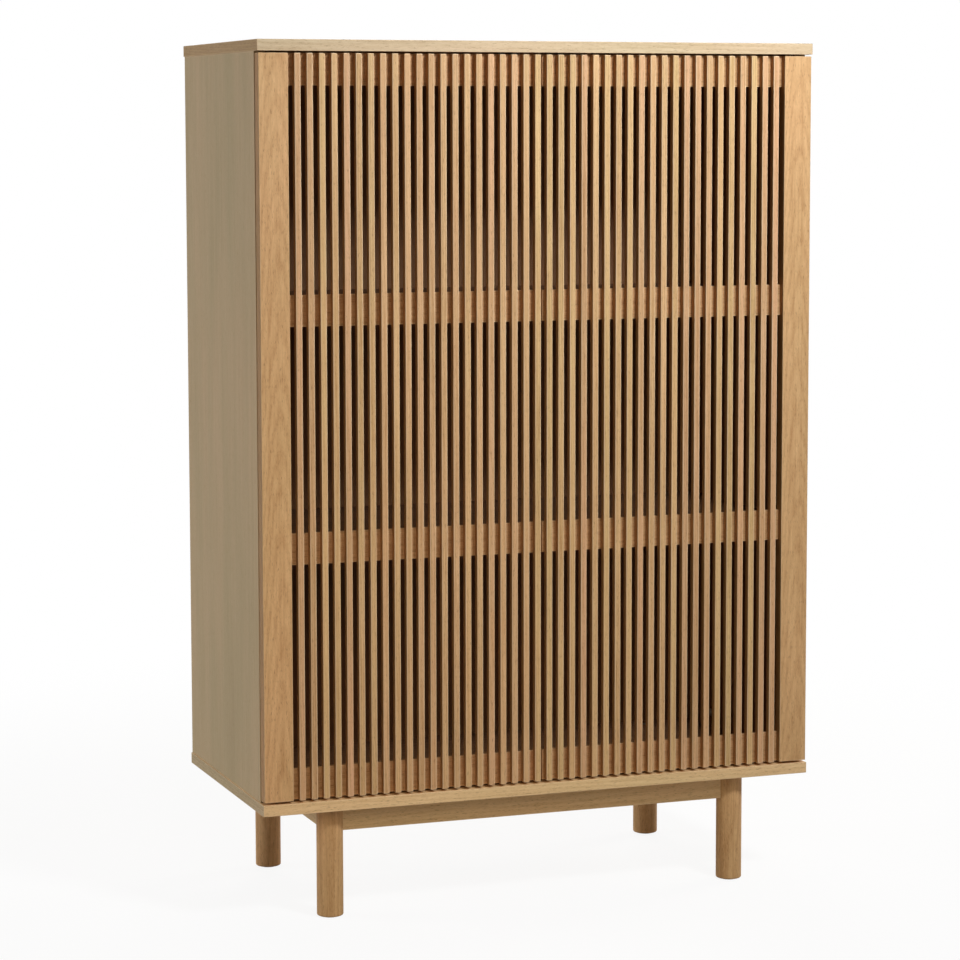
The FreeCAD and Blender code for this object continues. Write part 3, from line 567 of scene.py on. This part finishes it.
def dress_hardware():
    """Metal, plastic and dowels. Gives the finishes that the fine hardware takes too."""
    nickel = steel("nickel_steel")
    black = plastic("black_plastic", BLACK_TONES, BLACK_ROUGHNESS)
    grey = plastic("grey_plastic", GREY_TONES, GREY_ROUGHNESS)
    dowel_wood = beech("beech")
    for node in ("cam_bolts", "cam_locks", "leg_bolts", "leg_inserts", "shelf_pins", "latch_screws"):
        dress(node, nickel)
    for side in SIDES:
        for piece in ("arms", "arm_screws", "cups", "cup_screws", "pins", "plates", "plate_screws"):
            dress(f"{side}_hinge_{piece}", nickel)
        dress(side + "_door_strike", nickel)
        dress(side + "_latch_body", grey)
        dress(side + "_latch_plunger", black)
        for end in ("front", "rear"):
            dress(f"{end}_{side}_glide", black)
    for node in ("apron_dowels", "case_dowels"):
        dress(node, dowel_wood)
    return {"nickel_steel": nickel, "grey_plastic": grey, "black_plastic": black}


dress_wood()
finishes = dress_hardware()


# Fine hardware, in metres: skins worked out as arrays

# Edges between faces that turn by more than this many degrees are drawn sharp
SHARP_TURN = 35

# Slats: radius of their edges, points in a quarter circle, and angle in radians where an end's edge starts
SLAT_EDGE = 0.0011
EASED_STEPS = 6
EASED_START = 0.2

# Hinges of a door: how many, the height of a plate, and how far screws lie above and below its middle
HINGES_PER_DOOR = 3
PLATE_HEIGHT = 0.048
PLATE_SCREW_REACH = 0.016
CUP_SCREW_REACH = 0.0245

# Hinge arms: the strap and its bend, the knuckle round the pin, and the points round and along each
ARM_WIDTH = 0.009
ARM_THICKNESS = 0.0024
ARM_BEND = 0.0036
ARM_ROUNDING = 0.4
ARM_SIDES = 20
REACH_STEPS = 6
BEND_STEPS = 10
RUN_STEPS = 14
EYE_RADIUS = 0.0024
EYE_HALF_WALL = 0.0006
EYE_STEPS = 28

# Screws: head radius and height, outer and core radius of the shank, pitch, point's length and tip's share
SCREW_HEAD = (0.0035, 0.0015)
SCREW_SHANK = (0.0020, 0.0014)
SCREW_PITCH = 0.0018
SCREW_POINT = 0.0040
SCREW_TIP = 0.05
SCREW_SIDES = 40
ROWS_PER_PITCH = 6

# Shares of a screw's head: dome's reach and fall, rim's foot, and the level above which the slot cuts
DOME_REACH = 0.86
DOME_FALL = 0.22
RIM_FOOT = 0.30
SLOT_LEVEL = 0.6
DOME_ROWS = 13
RIM_ROWS = 4

# Half length, half width and depth of the cross slots, and how far points crowd towards their arms
SCREW_SLOT = (0.0019, 0.00045, 0.0009)
CAM_SLOT = (0.0046, 0.0009, 0.0026)
CROWDING = 0.14

# Cam locks: the disc, the circles on its face, the wall behind it, and the wall's arc in degrees and draw
CAM_RADIUS = 0.0075
CAM_FACE = 0.0055
CAM_CHAMFER = 0.0005
CAM_CIRCLES = (0.0004, 0.00072, 0.00104, 0.00136, 0.0016, 0.0035, 0.0050, 0.0060)
CAM_SIDES = 40
CAM_DEPTH = 0.013
CAM_WALL = 0.0012
CAM_ARC = (62, 298)
CAM_DRAW = 0.0016
CAM_STEPS = 24

# Latch housings: place, half sizes, bore, and the distances from the back of the first and last groove
LATCH_OFFSET = 0.040
LATCH_HALF_SIZE = (0.007, 0.012)
LATCH_ROUNDING = 0.28
LATCH_SIDES = 48
BORE_RADIUS = 0.00425
BORE_DEPTH = 0.052
GROOVES = 5
GROOVE_REACH = (0.010, 0.030)

# Profiles of the housing as shares of its section and distances: its back, end edges, a groove and the bore
LATCH_BACK = ((0.4, 0.0), (0.8, 0.0))
LATCH_EDGE = ((0.94, 0.0), (0.985, 0.0004), (1.0, 0.0012))
GROOVE_PROFILE = ((1.0, 0.0011), (0.955, 0.0006), (0.955, -0.0006), (1.0, -0.0011))
BORE_PROFILE = ((1.12, 0.0), (1.0, 0.0005), (1.0, 0.020), (1.0, BORE_DEPTH))

# Ears of the housings: the screw's place, half sizes, thickness, hole, and eased edges as share and depth
EAR_REACH = 0.013
EAR_HALF_SIZE = (0.0060, 0.0120)
EAR_ROUNDING = 0.3
EAR_THICKNESS = 0.003
EAR_HOLE = 0.0020
EAR_EDGE = (0.97, 0.0004)
EAR_SINK = (1.5, 0.0006)

# Plungers: the round of the nose, the groove as shares of the radius and heights, and the tail's chamfer
PLUNGER_NOSE = 0.0016
PLUNGER_GROOVE = ((1.0, -0.0050), (0.88, -0.0054), (0.88, -0.0064), (1.0, -0.0068))
PLUNGER_CHAMFER = 0.0006

# Door strikes: radii and heights of the dished face with its eased rim, the head's thickness, and the pin
STRIKE_FACE = [(0.0010, -0.0003), (0.0030, -0.0003), (0.0036, 0.0), (0.0050, 0.0), (0.0057, -0.0003),
               (0.0060, -0.0008)]
STRIKE_RADIUS = 0.0060
STRIKE_THICKNESS = 0.0015
STRIKE_PIN = 0.0015
STRIKE_TIP = (0.0009, 0.0008)


def skin(rows, first=None, last=None):
    """Points, quads and end triangles of a closed skin.

    Rows of points run round it. A point closes each end or, where none is given, the last row meets the
    first.
    """
    count, around = rows.shape[:2]
    wraps = first is None
    ends = np.empty((0, 3)) if wraps else np.array([first, last])
    points = np.vstack([rows.reshape(-1, 3), ends])
    row, column = np.meshgrid(np.arange(count if wraps else count - 1), np.arange(around), indexing="ij")
    here = row * around
    there = (row + 1) % count * around
    onward = (column + 1) % around
    quads = np.stack([here + column, here + onward, there + onward, there + column], -1).reshape(-1, 4)
    turn = np.arange(around)
    turn_on = (turn + 1) % around
    edge = (count - 1) * around
    fans = np.vstack([np.stack([np.full(around, count * around), turn_on, turn], -1),
                      np.stack([np.full(around, count * around + 1), edge + turn, edge + turn_on], -1)])
    fans = fans[:0] if wraps else fans
    return face_outward(points, quads, fans)


def face_outward(points, quads, fans):
    """The same skin with its faces turned outward, which makes the volume inside it positive."""
    triangles = np.vstack([quads[:, :3], quads[:, (0, 2, 3)], fans])
    a, b, c = (points[triangles[:, corner]] for corner in range(3))
    if np.einsum("ij,ij->", a, np.cross(b, c)) < 0:
        return points, quads[:, ::-1], fans[:, ::-1]
    return points, quads, fans


def add_piece(name, skins, material, body, replaced, smooth=True):
    """One piece made of closed skins. It rides on a body and stands for a node of the frame."""
    starts = np.cumsum([0] + [len(points) for points, quads, fans in skins])
    points = np.vstack([points for points, quads, fans in skins])
    faces = []
    for (own_points, quads, fans), start in zip(skins, starts):
        faces += (quads + start).tolist() + (fans + start).tolist()
    mesh = bpy.data.meshes.new(name)
    mesh.from_pydata(points.tolist(), [], faces)
    mesh.polygons.foreach_set("use_smooth", np.full(len(faces), smooth))
    mesh.set_sharp_from_angle(angle=math.radians(SHARP_TURN))
    mesh.materials.append(material)
    piece = bpy.data.objects.new(name, mesh)
    bpy.context.scene.collection.objects.link(piece)
    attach(piece, body)
    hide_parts(replaced)


def eased_bar(low, high, along, radius):
    """A bar with rounded edges: a rounded rectangle carried along an axis, numbered as the axes are.

    The section is a quarter circle round each corner of a rectangle. At both ends its radius shrinks as the
    sine of an angle while it comes forward as the cosine, which rounds the end edges as well.
    """
    low = np.array(low)
    high = np.array(high)
    middle = (low + high) / 2
    half = (high - low) / 2
    across = [axis for axis in range(3) if axis != along]
    quarter = np.repeat(np.arange(4), EASED_STEPS) * np.pi / 2
    turn = quarter + np.tile(np.linspace(0, np.pi / 2, EASED_STEPS), 4)
    corner = np.sign(np.stack([np.cos(quarter + np.pi / 4), np.sin(quarter + np.pi / 4)], 1))
    corner = corner * (half[across] - radius)
    spoke = np.stack([np.cos(turn), np.sin(turn)], 1)
    bend = np.linspace(EASED_START, np.pi / 2, EASED_STEPS)
    share = np.concatenate([np.sin(bend), np.sin(bend[::-1])])
    reach = half[along] - radius + radius * np.cos(bend)
    level = np.concatenate([-reach, reach[::-1]])
    rows = np.empty((len(level), len(turn), 3))
    rows[..., across] = corner + radius * share[:, None, None] * spoke
    rows[..., along] = level[:, None]
    ends = np.zeros((2, 3))
    ends[:, along] = level[[0, -1]]
    return skin(rows + middle, *(ends + middle))


def add_eased_slats():
    """Slats of the doors with their edges eased. They wear the oak of the slats that they stand for."""
    for side in SIDES:
        node = side + "_door_slats"
        low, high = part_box(node)
        count = round((high.x - low.x + SLAT_PITCH - SLAT_WIDTH) / SLAT_PITCH)
        starts = low.x + SLAT_PITCH * np.arange(count)
        skins = [eased_bar((start, low.y, low.z), (start + SLAT_WIDTH, high.y, high.z), 2, SLAT_EDGE)
                 for start in starts]
        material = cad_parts[node].material_slots[0].material
        add_piece("eased_" + node, skins, material, side + "_door", node, smooth=False)


def placed(local, place, facing):
    """Points with their axis on Z, carried to a place with the axis facing a direction."""
    turn = np.array(Vector(facing).to_track_quat("Z", "Y").to_matrix())
    return local @ turn.T + np.array(place)


def turned(radii, heights, place, facing, around=32, sink=None):
    """A turned piece: each row is a circle of its own radius and height.

    The angle less a sine of four times the angle crowds the points towards the arms of a cross slot. Sink
    gives the depth by which points are lowered.
    """
    angle = np.linspace(0, 2 * np.pi, around, endpoint=False)
    angle = angle - CROWDING * np.sin(4 * angle)
    radius = np.broadcast_to(radii, (around, len(radii))).T if np.ndim(radii) == 1 else radii
    height = np.broadcast_to(np.array(heights)[:, None], radius.shape)
    x = radius * np.cos(angle)
    y = radius * np.sin(angle)
    depth = sink(x, y, height) if sink else 0.0
    rows = placed(np.stack([x, y, height - depth], -1), place, facing)
    low = sink(0.0, 0.0, heights[0]) if sink else 0.0
    ends = placed(np.array([(0, 0, heights[0] - low), (0, 0, heights[-1])]), place, facing)
    return skin(rows, *ends)


def cross_slot(half_length, half_width, depth, above):
    """The depth of a cross slot: two bars with soft edges, sunk only into what lies above a height."""
    ramp = half_width / 4

    def bar(along, across):
        inside_length = np.clip((half_length - np.abs(along)) / ramp, 0, 1)
        return inside_length * np.clip((half_width - np.abs(across)) / ramp, 0, 1)

    def sink(x, y, height):
        return depth * np.maximum(bar(x, y), bar(y, x)) * (height > above)

    return sink


def screw(place, facing, length):
    """A pan-head screw with the underside of its head at a place. The length is that of its shank.

    The head is a low dome with a rounded rim and a cross slot. The shank's radius is its core plus a ridge,
    highest where the height in pitches, less the turn, is a whole number and a half: a winding thread.
    """
    head_radius, head_height = SCREW_HEAD
    shank_radius, core_radius = SCREW_SHANK
    share = np.linspace(0.1, 1.0, DOME_ROWS)
    dome = np.stack([DOME_REACH * head_radius * share, head_height * (1 - DOME_FALL * share ** 2)], 1)
    bend = np.linspace(0.3, 1.0, RIM_ROWS) * np.pi / 2
    rim_radius = head_radius * (DOME_REACH + (1 - DOME_REACH) * np.sin(bend))
    rim_height = head_height * (RIM_FOOT + (1 - DOME_FALL - RIM_FOOT) * np.cos(bend))
    foot = np.array([(head_radius, 0.0), (shank_radius, 0.0)])
    profile = np.vstack([dome, np.stack([rim_radius, rim_height], 1), foot])
    level = np.linspace(0.0, -length, int(ROWS_PER_PITCH * length / SCREW_PITCH))[1:-1]
    angle = np.linspace(0, 2 * np.pi, SCREW_SIDES, endpoint=False)
    phase = level[:, None] / SCREW_PITCH - angle / (2 * np.pi)
    ridge = np.clip(1 - 4 * np.abs(phase % 1.0 - 0.5), 0, 1)
    narrowing = np.clip((level + length) / SCREW_POINT, SCREW_TIP, 1)[:, None]
    shank = (core_radius + (shank_radius - core_radius) * ridge) * narrowing
    radii = np.vstack([np.broadcast_to(profile[:, :1], (len(profile), SCREW_SIDES)), shank])
    heights = np.concatenate([profile[:, 1], level])
    slot = cross_slot(*SCREW_SLOT, SLOT_LEVEL * head_height)
    return turned(radii, heights, place, facing, SCREW_SIDES, slot)


def cam_lock(sign, place, bolt_way):
    """A cam lock let into a side: a slotted disc and, behind it, a wall that is open towards its bolt.

    The wall is a rectangle carried round an arc. Its inner face draws in with the angle, as a cam's does.
    """
    face = [(radius, 0.0) for radius in (*CAM_CIRCLES, CAM_RADIUS - CAM_CHAMFER)]
    edge = [(CAM_RADIUS, -CAM_CHAMFER), (CAM_RADIUS, -CAM_FACE), (CAM_RADIUS / 2, -CAM_FACE)]
    radii, heights = np.array(face + edge).T
    slot = cross_slot(*CAM_SLOT, -CAM_CHAMFER / 5)
    disc = turned(radii, heights, place, (-sign, 0, 0), CAM_SIDES, slot)
    arc = np.radians(np.linspace(*CAM_ARC, CAM_STEPS))[:, None]
    inner = CAM_RADIUS - CAM_WALL - CAM_DRAW * (arc - arc[0]) / (arc[-1] - arc[0])
    outer = np.full_like(inner, CAM_RADIUS)
    reach = np.hstack([outer, outer, inner, inner])
    deep = np.broadcast_to([CAM_FACE, CAM_DEPTH, CAM_DEPTH, CAM_FACE], reach.shape)
    x, y, z = place
    rows = np.stack([x + sign * deep, y + reach * np.sin(arc), z + bolt_way * reach * np.cos(arc)], -1)
    return [disc, skin(rows, rows[0].mean(0), rows[-1].mean(0))]


def rounded_rectangle(count, half_width, half_height, power):
    """Points round a rectangle: its half sizes times the cosine and the sine of an angle, each to a power.

    A power of one gives an ellipse, and a smaller one squares it.
    """
    angle = np.linspace(0, 2 * np.pi, count, endpoint=False)
    spoke = np.stack([np.cos(angle), np.sin(angle)], 1)
    return np.sign(spoke) * np.abs(spoke) ** power * (half_width, half_height)


def hinge_arm(sign, pin, run_x, run_end, height):
    """A strap bent from the pin to the plate, and the knuckle round the pin.

    The strap is a rounded section carried along a path: straight in from the pin, round a bend, and straight
    along the plate. The knuckle is a rounded section carried round the pin.
    """
    x_pin, y_pin = pin
    start = x_pin - sign * EYE_RADIUS
    reach_x = np.linspace(start, run_x + sign * ARM_BEND, REACH_STEPS)
    turn = np.linspace(0, np.pi / 2, BEND_STEPS)[1:-1]
    corner_x = run_x + sign * ARM_BEND * (1 - np.sin(turn))
    corner_y = y_pin + ARM_BEND * (1 - np.cos(turn))
    run_y = np.linspace(y_pin + ARM_BEND, run_end, RUN_STEPS)
    path_x = np.concatenate([reach_x, corner_x, np.full(RUN_STEPS, run_x)])
    path_y = np.concatenate([np.full(REACH_STEPS, y_pin), corner_y, run_y])
    path = np.stack([path_x, path_y], 1)
    way = np.gradient(path, axis=0)
    way /= np.linalg.norm(way, axis=1)[:, None]
    side = np.stack([-way[:, 1], way[:, 0]], 1)[:, None, :]
    across, along = rounded_rectangle(ARM_SIDES, ARM_THICKNESS / 2, ARM_WIDTH / 2, ARM_ROUNDING).T
    flat = path[:, None, :] + side * across[:, None]
    rise = np.broadcast_to(height + along, flat.shape[:2])
    rows = np.concatenate([flat, rise[..., None]], -1)
    strap = skin(rows, (*path[0], height), (*path[-1], height))
    spin = np.linspace(0, 2 * np.pi, EYE_STEPS, endpoint=False)[:, None]
    radius = EYE_RADIUS + EYE_HALF_WALL * across / (ARM_THICKNESS / 2)
    rise = np.broadcast_to(height + along, (EYE_STEPS, ARM_SIDES))
    ring = np.stack([x_pin + radius * np.cos(spin), y_pin + radius * np.sin(spin), rise], -1)
    return [strap, skin(ring)]


def stacked(outlines):
    """Rows of points: each flat outline with its level as the third number."""
    return np.stack([np.column_stack([outline, np.full(len(outline), level)])
                     for outline, level in outlines])


def latch_housing(middle, front, back, axis):
    """A moulded latch housing with a bore for its plunger.

    Each row blends a rounded rectangle into the circle of the bore. The rows run over the back, along the
    sides with shallow grooves, over the front and down the bore.
    """
    square = rounded_rectangle(LATCH_SIDES, *LATCH_HALF_SIZE, LATCH_ROUNDING)
    circle = rounded_rectangle(LATCH_SIDES, BORE_RADIUS, BORE_RADIUS, 1.0)
    steps = [(share, back - inset) for share, inset in LATCH_BACK + LATCH_EDGE]
    first, last = GROOVE_REACH
    for place in np.linspace(back - first, back - last, GROOVES):
        steps += [(share, place + shift) for share, shift in GROOVE_PROFILE]
    steps += [(share, front + inset) for share, inset in reversed(LATCH_EDGE)]
    outlines = [(square * share, depth) for share, depth in steps]
    outlines += [(circle * share, front + depth) for share, depth in BORE_PROFILE]
    rows = stacked(outlines)[..., [0, 2, 1]] + (middle, 0.0, axis)
    return skin(rows, (middle, back, axis), (middle, front + BORE_DEPTH, axis))


def latch_ear(x, y, top):
    """An ear of a latch housing, with a hole for its screw.

    Its outlines run under the plate from the edge to the hole, up the hole, and over the top to the edge.
    """
    plate = rounded_rectangle(LATCH_SIDES, *EAR_HALF_SIZE, EAR_ROUNDING)
    hole = rounded_rectangle(LATCH_SIDES, EAR_HOLE, EAR_HOLE, 1.0)
    low = top - EAR_THICKNESS
    edge_share, edge_depth = EAR_EDGE
    sink_share, sink_depth = EAR_SINK
    outlines = [(plate, low + edge_depth), (plate * edge_share, low), (hole * sink_share, low),
                (hole, low + sink_depth), (hole, top), (plate, top)]
    return skin(stacked(outlines) + (x, y, 0.0))


def latch_plunger(radius, length, place):
    """A turned plunger: a nose that faces the front, a groove and a tail with a chamfer.

    The nose is rounded: its radius grows with the sine of an angle while its height falls with the cosine.
    """
    bend = np.linspace(0.15, 1.0, 6) * np.pi / 2
    nose = [(radius - PLUNGER_NOSE * (1 - np.sin(turn)), -PLUNGER_NOSE * (1 - np.cos(turn)))
            for turn in bend]
    groove = [(share * radius, height) for share, height in PLUNGER_GROOVE]
    tail = [(radius, PLUNGER_CHAMFER - length), (0.9 * radius, -length)]
    radii, heights = np.array([(0.4 * radius, 0.0)] + nose + groove + tail).T
    return turned(radii, heights, place, (0, -1, 0))


def door_strike(length, place):
    """A turned strike: a dished head that faces the back, and a pin that goes into the door."""
    tip_radius, tip_length = STRIKE_TIP
    pin = [(STRIKE_RADIUS, -STRIKE_THICKNESS), (STRIKE_PIN, -STRIKE_THICKNESS),
           (STRIKE_PIN, tip_length - length), (tip_radius, -length)]
    radii, heights = np.array(STRIKE_FACE + pin).T
    return turned(radii, heights, place, (0, 1, 0))


def hinge_middles(side):
    """Heights of the middles of a door's hinges."""
    low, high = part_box(side + "_hinge_plates")
    return np.linspace(low.z + PLATE_HEIGHT / 2, high.z - PLATE_HEIGHT / 2, HINGES_PER_DOOR)


def add_hinge_pieces(side, sign, nickel):
    """Screws and arms of one door's hinges."""
    middles = hinge_middles(side)
    head_height = SCREW_HEAD[1]
    rows = {"plate_screws": (PLATE_SCREW_REACH, "case"), "arm_screws": (0.0, "case"),
            "cup_screws": (CUP_SCREW_REACH, side + "_door")}
    for kind, (reach, body) in rows.items():
        node = f"{side}_hinge_{kind}"
        low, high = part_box(node)
        centre = (low + high) / 2
        heights = np.unique(np.concatenate([middles - reach, middles + reach]))
        if kind == "cup_screws":
            spot = (centre.x, high.y - head_height)
            facing = (0, 1, 0)
            length = high.y - low.y - head_height
        else:
            face = low.x if sign > 0 else high.x
            spot = (face + sign * head_height, centre.y)
            facing = (-sign, 0, 0)
            length = high.x - low.x - head_height
        skins = [screw((*spot, height), facing, length) for height in heights]
        add_piece("threaded_" + node, skins, nickel, body, node)

    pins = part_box(side + "_hinge_pins")
    pin = (pins[0] + pins[1]) / 2
    node = side + "_hinge_arms"
    low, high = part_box(node)
    run_x = low.x + ARM_THICKNESS / 2 if sign > 0 else high.x - ARM_THICKNESS / 2
    skins = []
    for height in middles:
        skins += hinge_arm(sign, (pin.x, pin.y), run_x, high.y, height)
    add_piece("pressed_" + node, skins, nickel, "case", node)


def add_latch_pieces(side, sign, finishes):
    """Housing, plunger and strike of one door's push latch."""
    node = side + "_latch_body"
    low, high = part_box(node)
    middle = sign * LATCH_OFFSET
    axis = (low.z + high.z) / 2
    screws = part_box("latch_screws")
    screw_y = (screws[0].y + screws[1].y) / 2
    skins = [latch_housing(middle, low.y, high.y, axis)]
    skins += [latch_ear(middle + way * EAR_REACH, screw_y, high.z) for way in (-1, 1)]
    add_piece("moulded_" + node, skins, finishes["grey_plastic"], "case", node)

    node = side + "_latch_plunger"
    low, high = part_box(node)
    skins = [latch_plunger((high.x - low.x) / 2, high.y - low.y, (middle, low.y, axis))]
    add_piece("turned_" + node, skins, finishes["black_plastic"], side + "_plunger", node)

    node = side + "_door_strike"
    low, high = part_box(node)
    skins = [door_strike(high.y - low.y, (middle, high.y, axis))]
    add_piece("turned_" + node, skins, finishes["nickel_steel"], side + "_door", node)


def add_case_pieces(nickel):
    """Cam locks in the sides and the screws of the latches."""
    low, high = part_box("cam_locks")
    # The hinge plates lie on the sides' inner faces, with which the cam locks are flush
    inner_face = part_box("right_hinge_plates")[1].x
    skins = []
    for sign in SIDES.values():
        for y in (low.y + CAM_RADIUS, high.y - CAM_RADIUS):
            for z, bolt_way in ((low.z + CAM_RADIUS, -1), (high.z - CAM_RADIUS, 1)):
                skins += cam_lock(sign, (sign * inner_face, y, z), bolt_way)
    add_piece("slotted_cam_locks", skins, nickel, "case", "cam_locks")

    low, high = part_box("latch_screws")
    y = (low.y + high.y) / 2
    head_height = SCREW_HEAD[1]
    length = high.z - low.z - head_height
    places = [sign * LATCH_OFFSET + way * EAR_REACH for sign in SIDES.values() for way in (-1, 1)]
    skins = [screw((x, y, low.z + head_height), (0, 0, -1), length) for x in places]
    add_piece("threaded_latch_screws", skins, nickel, "case", "latch_screws")


add_eased_slats()
add_case_pieces(finishes["nickel_steel"])
for side_name, side_sign in SIDES.items():
    add_hinge_pieces(side_name, side_sign, finishes["nickel_steel"])
    add_latch_pieces(side_name, side_sign, finishes)


# Stage, light and camera

# Strength of the even light from all round
AMBIENT = 0.05

# Floor: half its size in metres, and its shade for light that bounces and for the camera
FLOOR_REACH = 30.0
BOUNCE_SHADE = 0.48
SEEN_SHADE = 0.95

# Between these distances from the middle, in metres, the floor's share of white glow grows from this to all
GLOW_REACH = (0.8, 2.4)
NEAR_GLOW = 0.90


def seen_directly(recipe):
    """One for rays from the camera, from mirrors and through glass, and zero for light that bounces."""
    path = recipe.add("ShaderNodeLightPath").outputs
    seen = recipe.math("MAXIMUM", path["Is Camera Ray"], path["Is Glossy Ray"])
    return recipe.math("MAXIMUM", seen, path["Is Transmission Ray"])


def make_world():
    """Even light from all round, which shows as white."""
    world = bpy.data.worlds.new("studio")
    world.use_nodes = True
    recipe = Recipe(world.node_tree)
    background = world.node_tree.nodes["Background"]
    recipe.feed(background.inputs["Color"], (1.0, 1.0, 1.0, 1.0))
    recipe.feed(background.inputs["Strength"], recipe.remap(seen_directly(recipe), 0.0, 1.0, AMBIENT, 1.0))
    bpy.context.scene.world = world


def make_floor():
    """A pale floor that runs into the white background and keeps a soft shadow."""
    corners = FLOOR_REACH * np.array([(-1, -1, 0), (1, -1, 0), (1, 1, 0), (-1, 1, 0)])
    mesh = bpy.data.meshes.new("floor")
    mesh.from_pydata(corners.tolist(), [], [(0, 1, 2, 3)])
    floor = bpy.data.objects.new("floor", mesh)
    bpy.context.scene.collection.objects.link(floor)
    material = bpy.data.materials.new("pale_floor")
    material.use_nodes = True
    tree = material.node_tree
    tree.nodes.remove(tree.nodes["Principled BSDF"])
    recipe = Recipe(tree)
    seen = seen_directly(recipe)
    shade = recipe.remap(seen, 0.0, 1.0, BOUNCE_SHADE, SEEN_SHADE)
    matt = recipe.add("ShaderNodeBsdfDiffuse", {"Color": recipe.join(shade, shade, shade)}).outputs[0]
    glow = recipe.add("ShaderNodeEmission").outputs[0]
    distance = recipe.length(recipe.add("ShaderNodeTexCoord").outputs["Object"])
    share = recipe.math("MULTIPLY", seen, recipe.remap(distance, *GLOW_REACH, NEAR_GLOW, 1.0, smooth=True))
    both = recipe.add("ShaderNodeMixShader", {0: share, 1: matt, 2: glow}).outputs[0]
    recipe.feed(tree.nodes["Material Output"].inputs["Surface"], both)
    mesh.materials.append(material)


def soft_lamp(name, place, aim, size, power, tint, spread=180):
    """A square soft box at a place, turned to face a point. Spread is the width of its beam in degrees."""
    lamp = bpy.data.lights.new(name, "AREA")
    lamp.size = size
    lamp.energy = power
    lamp.color = tint
    lamp.spread = math.radians(spread)
    fitting = bpy.data.objects.new(name, lamp)
    fitting.location = place
    fitting.visible_camera = False
    fitting.rotation_mode = "QUATERNION"
    fitting.rotation_quaternion = (Vector(aim) - Vector(place)).to_track_quat("-Z", "Y")
    bpy.context.scene.collection.objects.link(fitting)


def make_lights():
    """A key above the right door, a warm beam on the foot of the front, and lamps by the sides and back."""
    soft_lamp("key", place=(0.62, -2.1, 2.5), aim=(0.45, -0.2, 2.0), size=0.5, power=44.0,
              tint=(0.96, 0.985, 1.01), spread=140)
    soft_lamp("front", place=(-0.8, -2.0, 1.3), aim=(-0.3, -0.2, 0.05), size=0.9, power=1.9,
              tint=(1.0, 0.83, 0.62), spread=72)
    soft_lamp("left_fill", place=(-5.0, 1.8, 1.8), aim=(-0.47, 0.0, 0.7), size=2.0, power=95.0,
              tint=(0.95, 0.955, 0.97))
    soft_lamp("right_fill", place=(5.0, 1.8, 2.4), aim=(0.47, 0.0, 0.7), size=2.0, power=114.0,
              tint=(1.0, 0.91, 0.80))
    soft_lamp("back_fill", place=(0.8, 4.0, 2.6), aim=(0.0, 0.2, 0.7), size=3.0, power=100.0,
              tint=(1.0, 0.98, 0.95))


# Camera: sizes of the picture in pixels and of the sensor in millimetres, place in metres, turns in degrees
IMAGE_SIZE = 960
SENSOR_WIDTH = 36.0
FOCAL_PIXELS = 3030.0
AXIS_ROW = 430.0
CAMERA_PLACE = (-1.7757, -4.7512, 1.2626)
CAMERA_YAW = -20.203
CAMERA_PITCH = 5.692
CAMERA_ROLL = 0.102


def make_camera():
    """The photograph's view: from the left, level with the doors' upper part, looking slightly down."""
    lens = bpy.data.cameras.new("camera")
    lens.sensor_width = SENSOR_WIDTH
    lens.lens = FOCAL_PIXELS / IMAGE_SIZE * SENSOR_WIDTH
    lens.shift_y = (AXIS_ROW - IMAGE_SIZE / 2) / IMAGE_SIZE
    camera = bpy.data.objects.new("camera", lens)
    camera.location = CAMERA_PLACE
    camera.rotation_euler = [math.radians(turn) for turn in (90 - CAMERA_PITCH, CAMERA_ROLL, CAMERA_YAW)]
    bpy.context.scene.collection.objects.link(camera)
    bpy.context.scene.camera = camera


make_world()
make_floor()
make_lights()
make_camera()
bpy.context.scene.view_settings.view_transform = "Standard"
